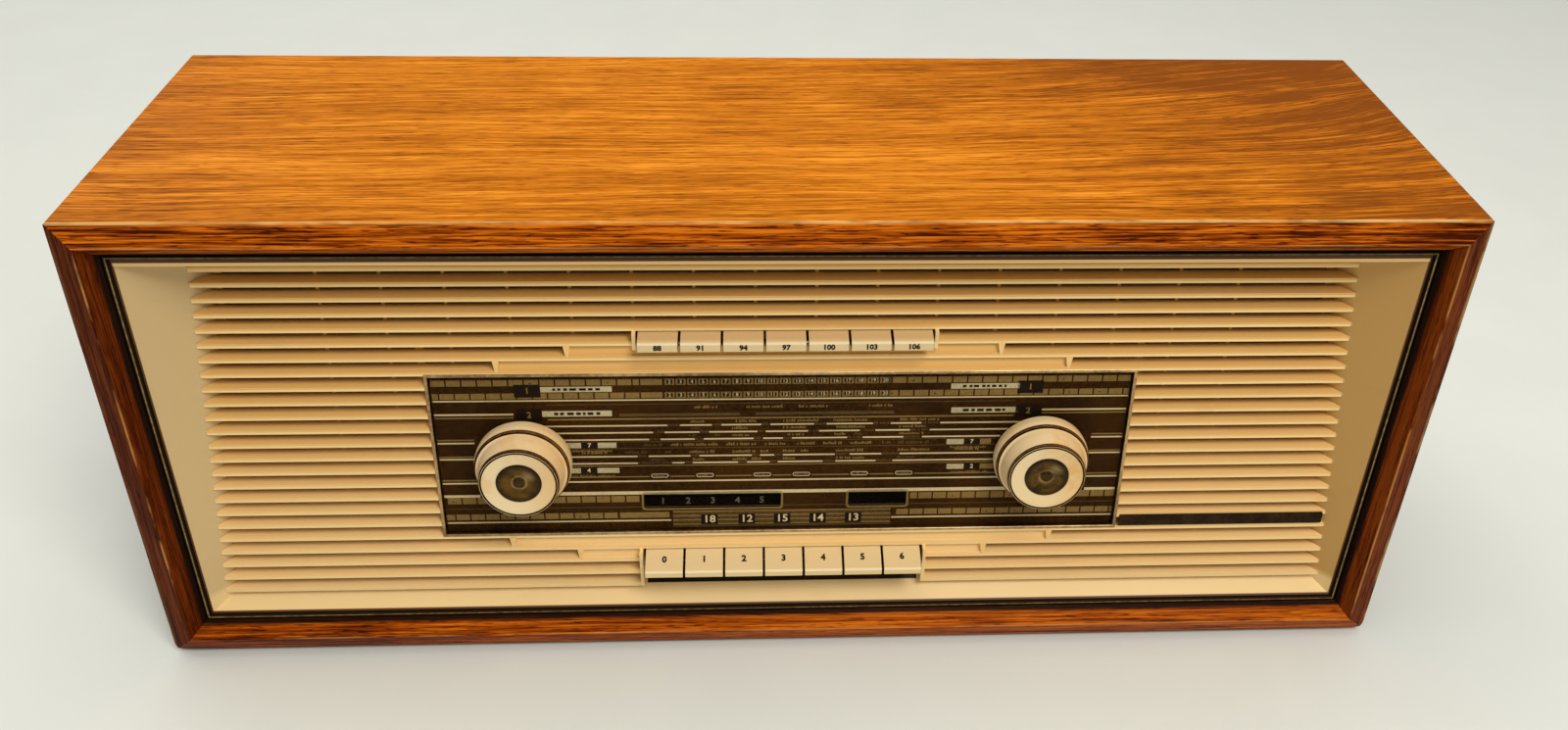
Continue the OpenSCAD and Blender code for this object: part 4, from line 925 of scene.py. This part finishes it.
# Rear fittings, and slots and washers of the screws
rear = dict(  # each fitting's x and how far it stands out, then shapes as profiles and steps
    socket=(0, 8), speaker=(-50, 6), selector=(60, 5), fuse=(100, 9), sockets=(-150, -131, -112, -93), grommet=145,
    reach=9, screwIn=3.8, screwSlot=(6.6, 0.9), speakerHoles=(-3.6, 3.4), speakerSlot=(5, 1.6, 0.06),
    selectorSlot=(13, 2.2), selectorTwist=35, fuseSlot=(8.6, 1.5, -0.02), fuseTwist=-20,
    washer=([(3.75, -1.75), (5, -1.75), (4.9, -1.2), (4.2, -0.75), (3.75, -0.7)], 40),
    eyelet=([(2.05, -0.6), (3.5, -0.05), (3.4, 0.25), (2.7, 0.45), (2.05, 0.2)], 40),
    hole=([(0, -0.3), (2, -0.3), (2, 0.06), (0, 0.06)], 32),
    speakerRim=([(7.7, -0.4), (8.95, -0.4), (8.8, 0.45), (8.2, 0.6), (7.7, 0.2)], 64),
    selectorRim=([(8.4, -0.4), (9.9, -0.4), (9.7, 0.5), (9, 0.7), (8.4, 0.2)], 64),
    fuseRim=([(5.3, -0.4), (6.9, -0.4), (6.7, -0.05), (6.1, 0), (5.3, -0.1)], 48),
    sleeve=([(3.6, 0.2), (4.2, 0.9), (5.4, 1), (6.6, 0.7), (7.2, -0.4), (7.25, -2.6), (6.9, -2.6),
             (3.6, -0.4)], 48))


def rearPlace(x, y, z, twist=0):  # z of the shape points out of the back
    return Matrix.Translation((x, y, z)) @ backward @ Matrix.Rotation(math.radians(twist), 4, "Z") @ Matrix.Scale(mm, 4)


def addGathered(name, parts, finish, place=Matrix()):
    shape = bmesh.new()
    for mesh, at in parts:
        mesh.transform(at)
        shape.from_mesh(mesh)
    addPiece(name, finishMesh(shape, name, 35), finish, place=place)


def slotBar(length, width, high=0.12, low=-0.4):  # a screwdriver slot with rounded ends
    outline = roundedOutline((-length / 2, -width / 2), (length / 2, width / 2), width * 0.49)
    shape = bmesh.new()
    shape.from_mesh(cutSheet("slot", [outline], low, high))
    bmesh.ops.transform(shape, matrix=upright, verts=shape.verts)
    return finishMesh(shape, "slot")


def addRear():
    low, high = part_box("rear_sockets")
    base, middle = high[1] - rear["reach"] * mm, (low[2] + high[2]) / 2

    def at(fitting, shift=0, twist=0):
        x, proud = rear[fitting]
        return rearPlace((x + shift) * mm, base + proud * mm, middle, twist)

    def turning(kind):
        return turned(kind, *rear[kind])

    low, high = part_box("screws")
    inset = rear["screwIn"] * mm
    heads = [(x, z) for x in (low[0] + inset, high[0] - inset)
             for z in (low[2] + inset, (low[2] + high[2]) / 2, high[2] - inset)]
    twists = random.Random(11)
    slots = [(slotBar(*rear["screwSlot"]), rearPlace(x, high[1], z, twists.uniform(0, 180))) for x, z in heads]
    addGathered("screw_slots", slots, "bandGroove")
    washers = [(turning("washer"), rearPlace(x, high[1], z)) for x, z in heads]
    addGathered("screw_washers", washers, "brassBeadPlain")
    eyelets = [(turning("eyelet"), at("socket", x)) for x in rear["sockets"]]
    addGathered("socket_eyelets", eyelets, "brassBeadPlain")
    holeX, slotX = rear["speakerHoles"]
    holes = [(turning("hole"), at("speaker", holeX)), (slotBar(*rear["speakerSlot"]), at("speaker", slotX, 90))]
    addGathered("speaker_holes", holes, "bandGroove")
    rims = [(turning(fitting + "Rim"), at(fitting)) for fitting in ("speaker", "selector", "fuse")]
    addGathered("fitting_rims", rims, "brownBakelite")
    bars = [(slotBar(*rear[fitting + "Slot"]), at(fitting, 0, rear[fitting + "Twist"]))
            for fitting in ("selector", "fuse")]
    addGathered("fitting_slots", bars, "bandGroove")
    addPiece("lead_grommet", turning("sleeve"), "footRubber", place=at("socket", rear["grommet"]))


addRear()
print("rear fittings")

# Dark cards tacked over the openings above and below the dial plate, so that no light shows past it
shields = dict(
    x=(78.6, 182.4), upper=(141.9, 163.5), lower=(0.7, 26.5), depth=(11.58, 11.98), corner=2.5, tackIn=4,
    tack=([(0, 0), (1.5, 0), (1.05, 0.35), (0, 0.5)], 16))


def addShields():
    cards, tacks = [], []
    inset, back = shields["tackIn"], shields["depth"][1]
    for side in (-1, 1):
        left, right = sorted(side * x for x in shields["x"])
        for low, high in (shields["upper"], shields["lower"]):
            outline = roundedOutline((left, low), (right, high), shields["corner"])
            cards.append((cutSheet("card", [outline], *shields["depth"]), Matrix()))
            for x in (left + inset, (left + right) / 2, right - inset):
                for v in (low + inset, high - inset):
                    tacks.append((turned("tack", *shields["tack"]), Matrix.Translation((x, back, v)) @ backward))
    addGathered("light_cards", cards, "stainedBoard", frontPlace)
    addGathered("card_tacks", tacks, "brassBeadPlain", frontPlace)


addShields()
print("light cards")

# Plain figures on the keys; slope is how far a key's face leans back from upright
keyRows = dict(
    station=dict(figures=("88", "91", "94", "97", "100", "103", "106"), size=4, bold=0.2, pitch=20.9,
                    depth=-8.02, v=153.46, slope=0),
    band=dict(figures="0123456", size=4.8, bold=0.24, pitch=21.1, depth=-5.4, v=20.84, slope=math.atan2(12, 5.3)))
for number in range(1, 8):
    for row, look in keyRows.items():
        mark = words(look["figures"][number - 1], look["size"], look["bold"])
        middle = Matrix.Translation(((number - 4) * look["pitch"], look["depth"], look["v"]))
        mark.transform(middle @ Matrix.Rotation(math.pi / 2 - look["slope"], 4, "X"))
        addPiece("%s_figure_%d" % (row, number), mark, "keyInk", "%s_key_%d_body" % (row, number))
print("key figures")

# Floor
floorHalf = 9
ground = bpy.data.meshes.new("floor")
ground.from_pydata([(-floorHalf, -floorHalf, 0), (floorHalf, -floorHalf, 0), (floorHalf, floorHalf, 0),
                    (-floorHalf, floorHalf, 0)], [], [(0, 1, 2, 3)])
floor = bpy.data.objects.new("floor", ground)
ground.materials.append(made["floorPaper"])
link(floor)

bpy.context.view_layer.update()
print("sizes written")
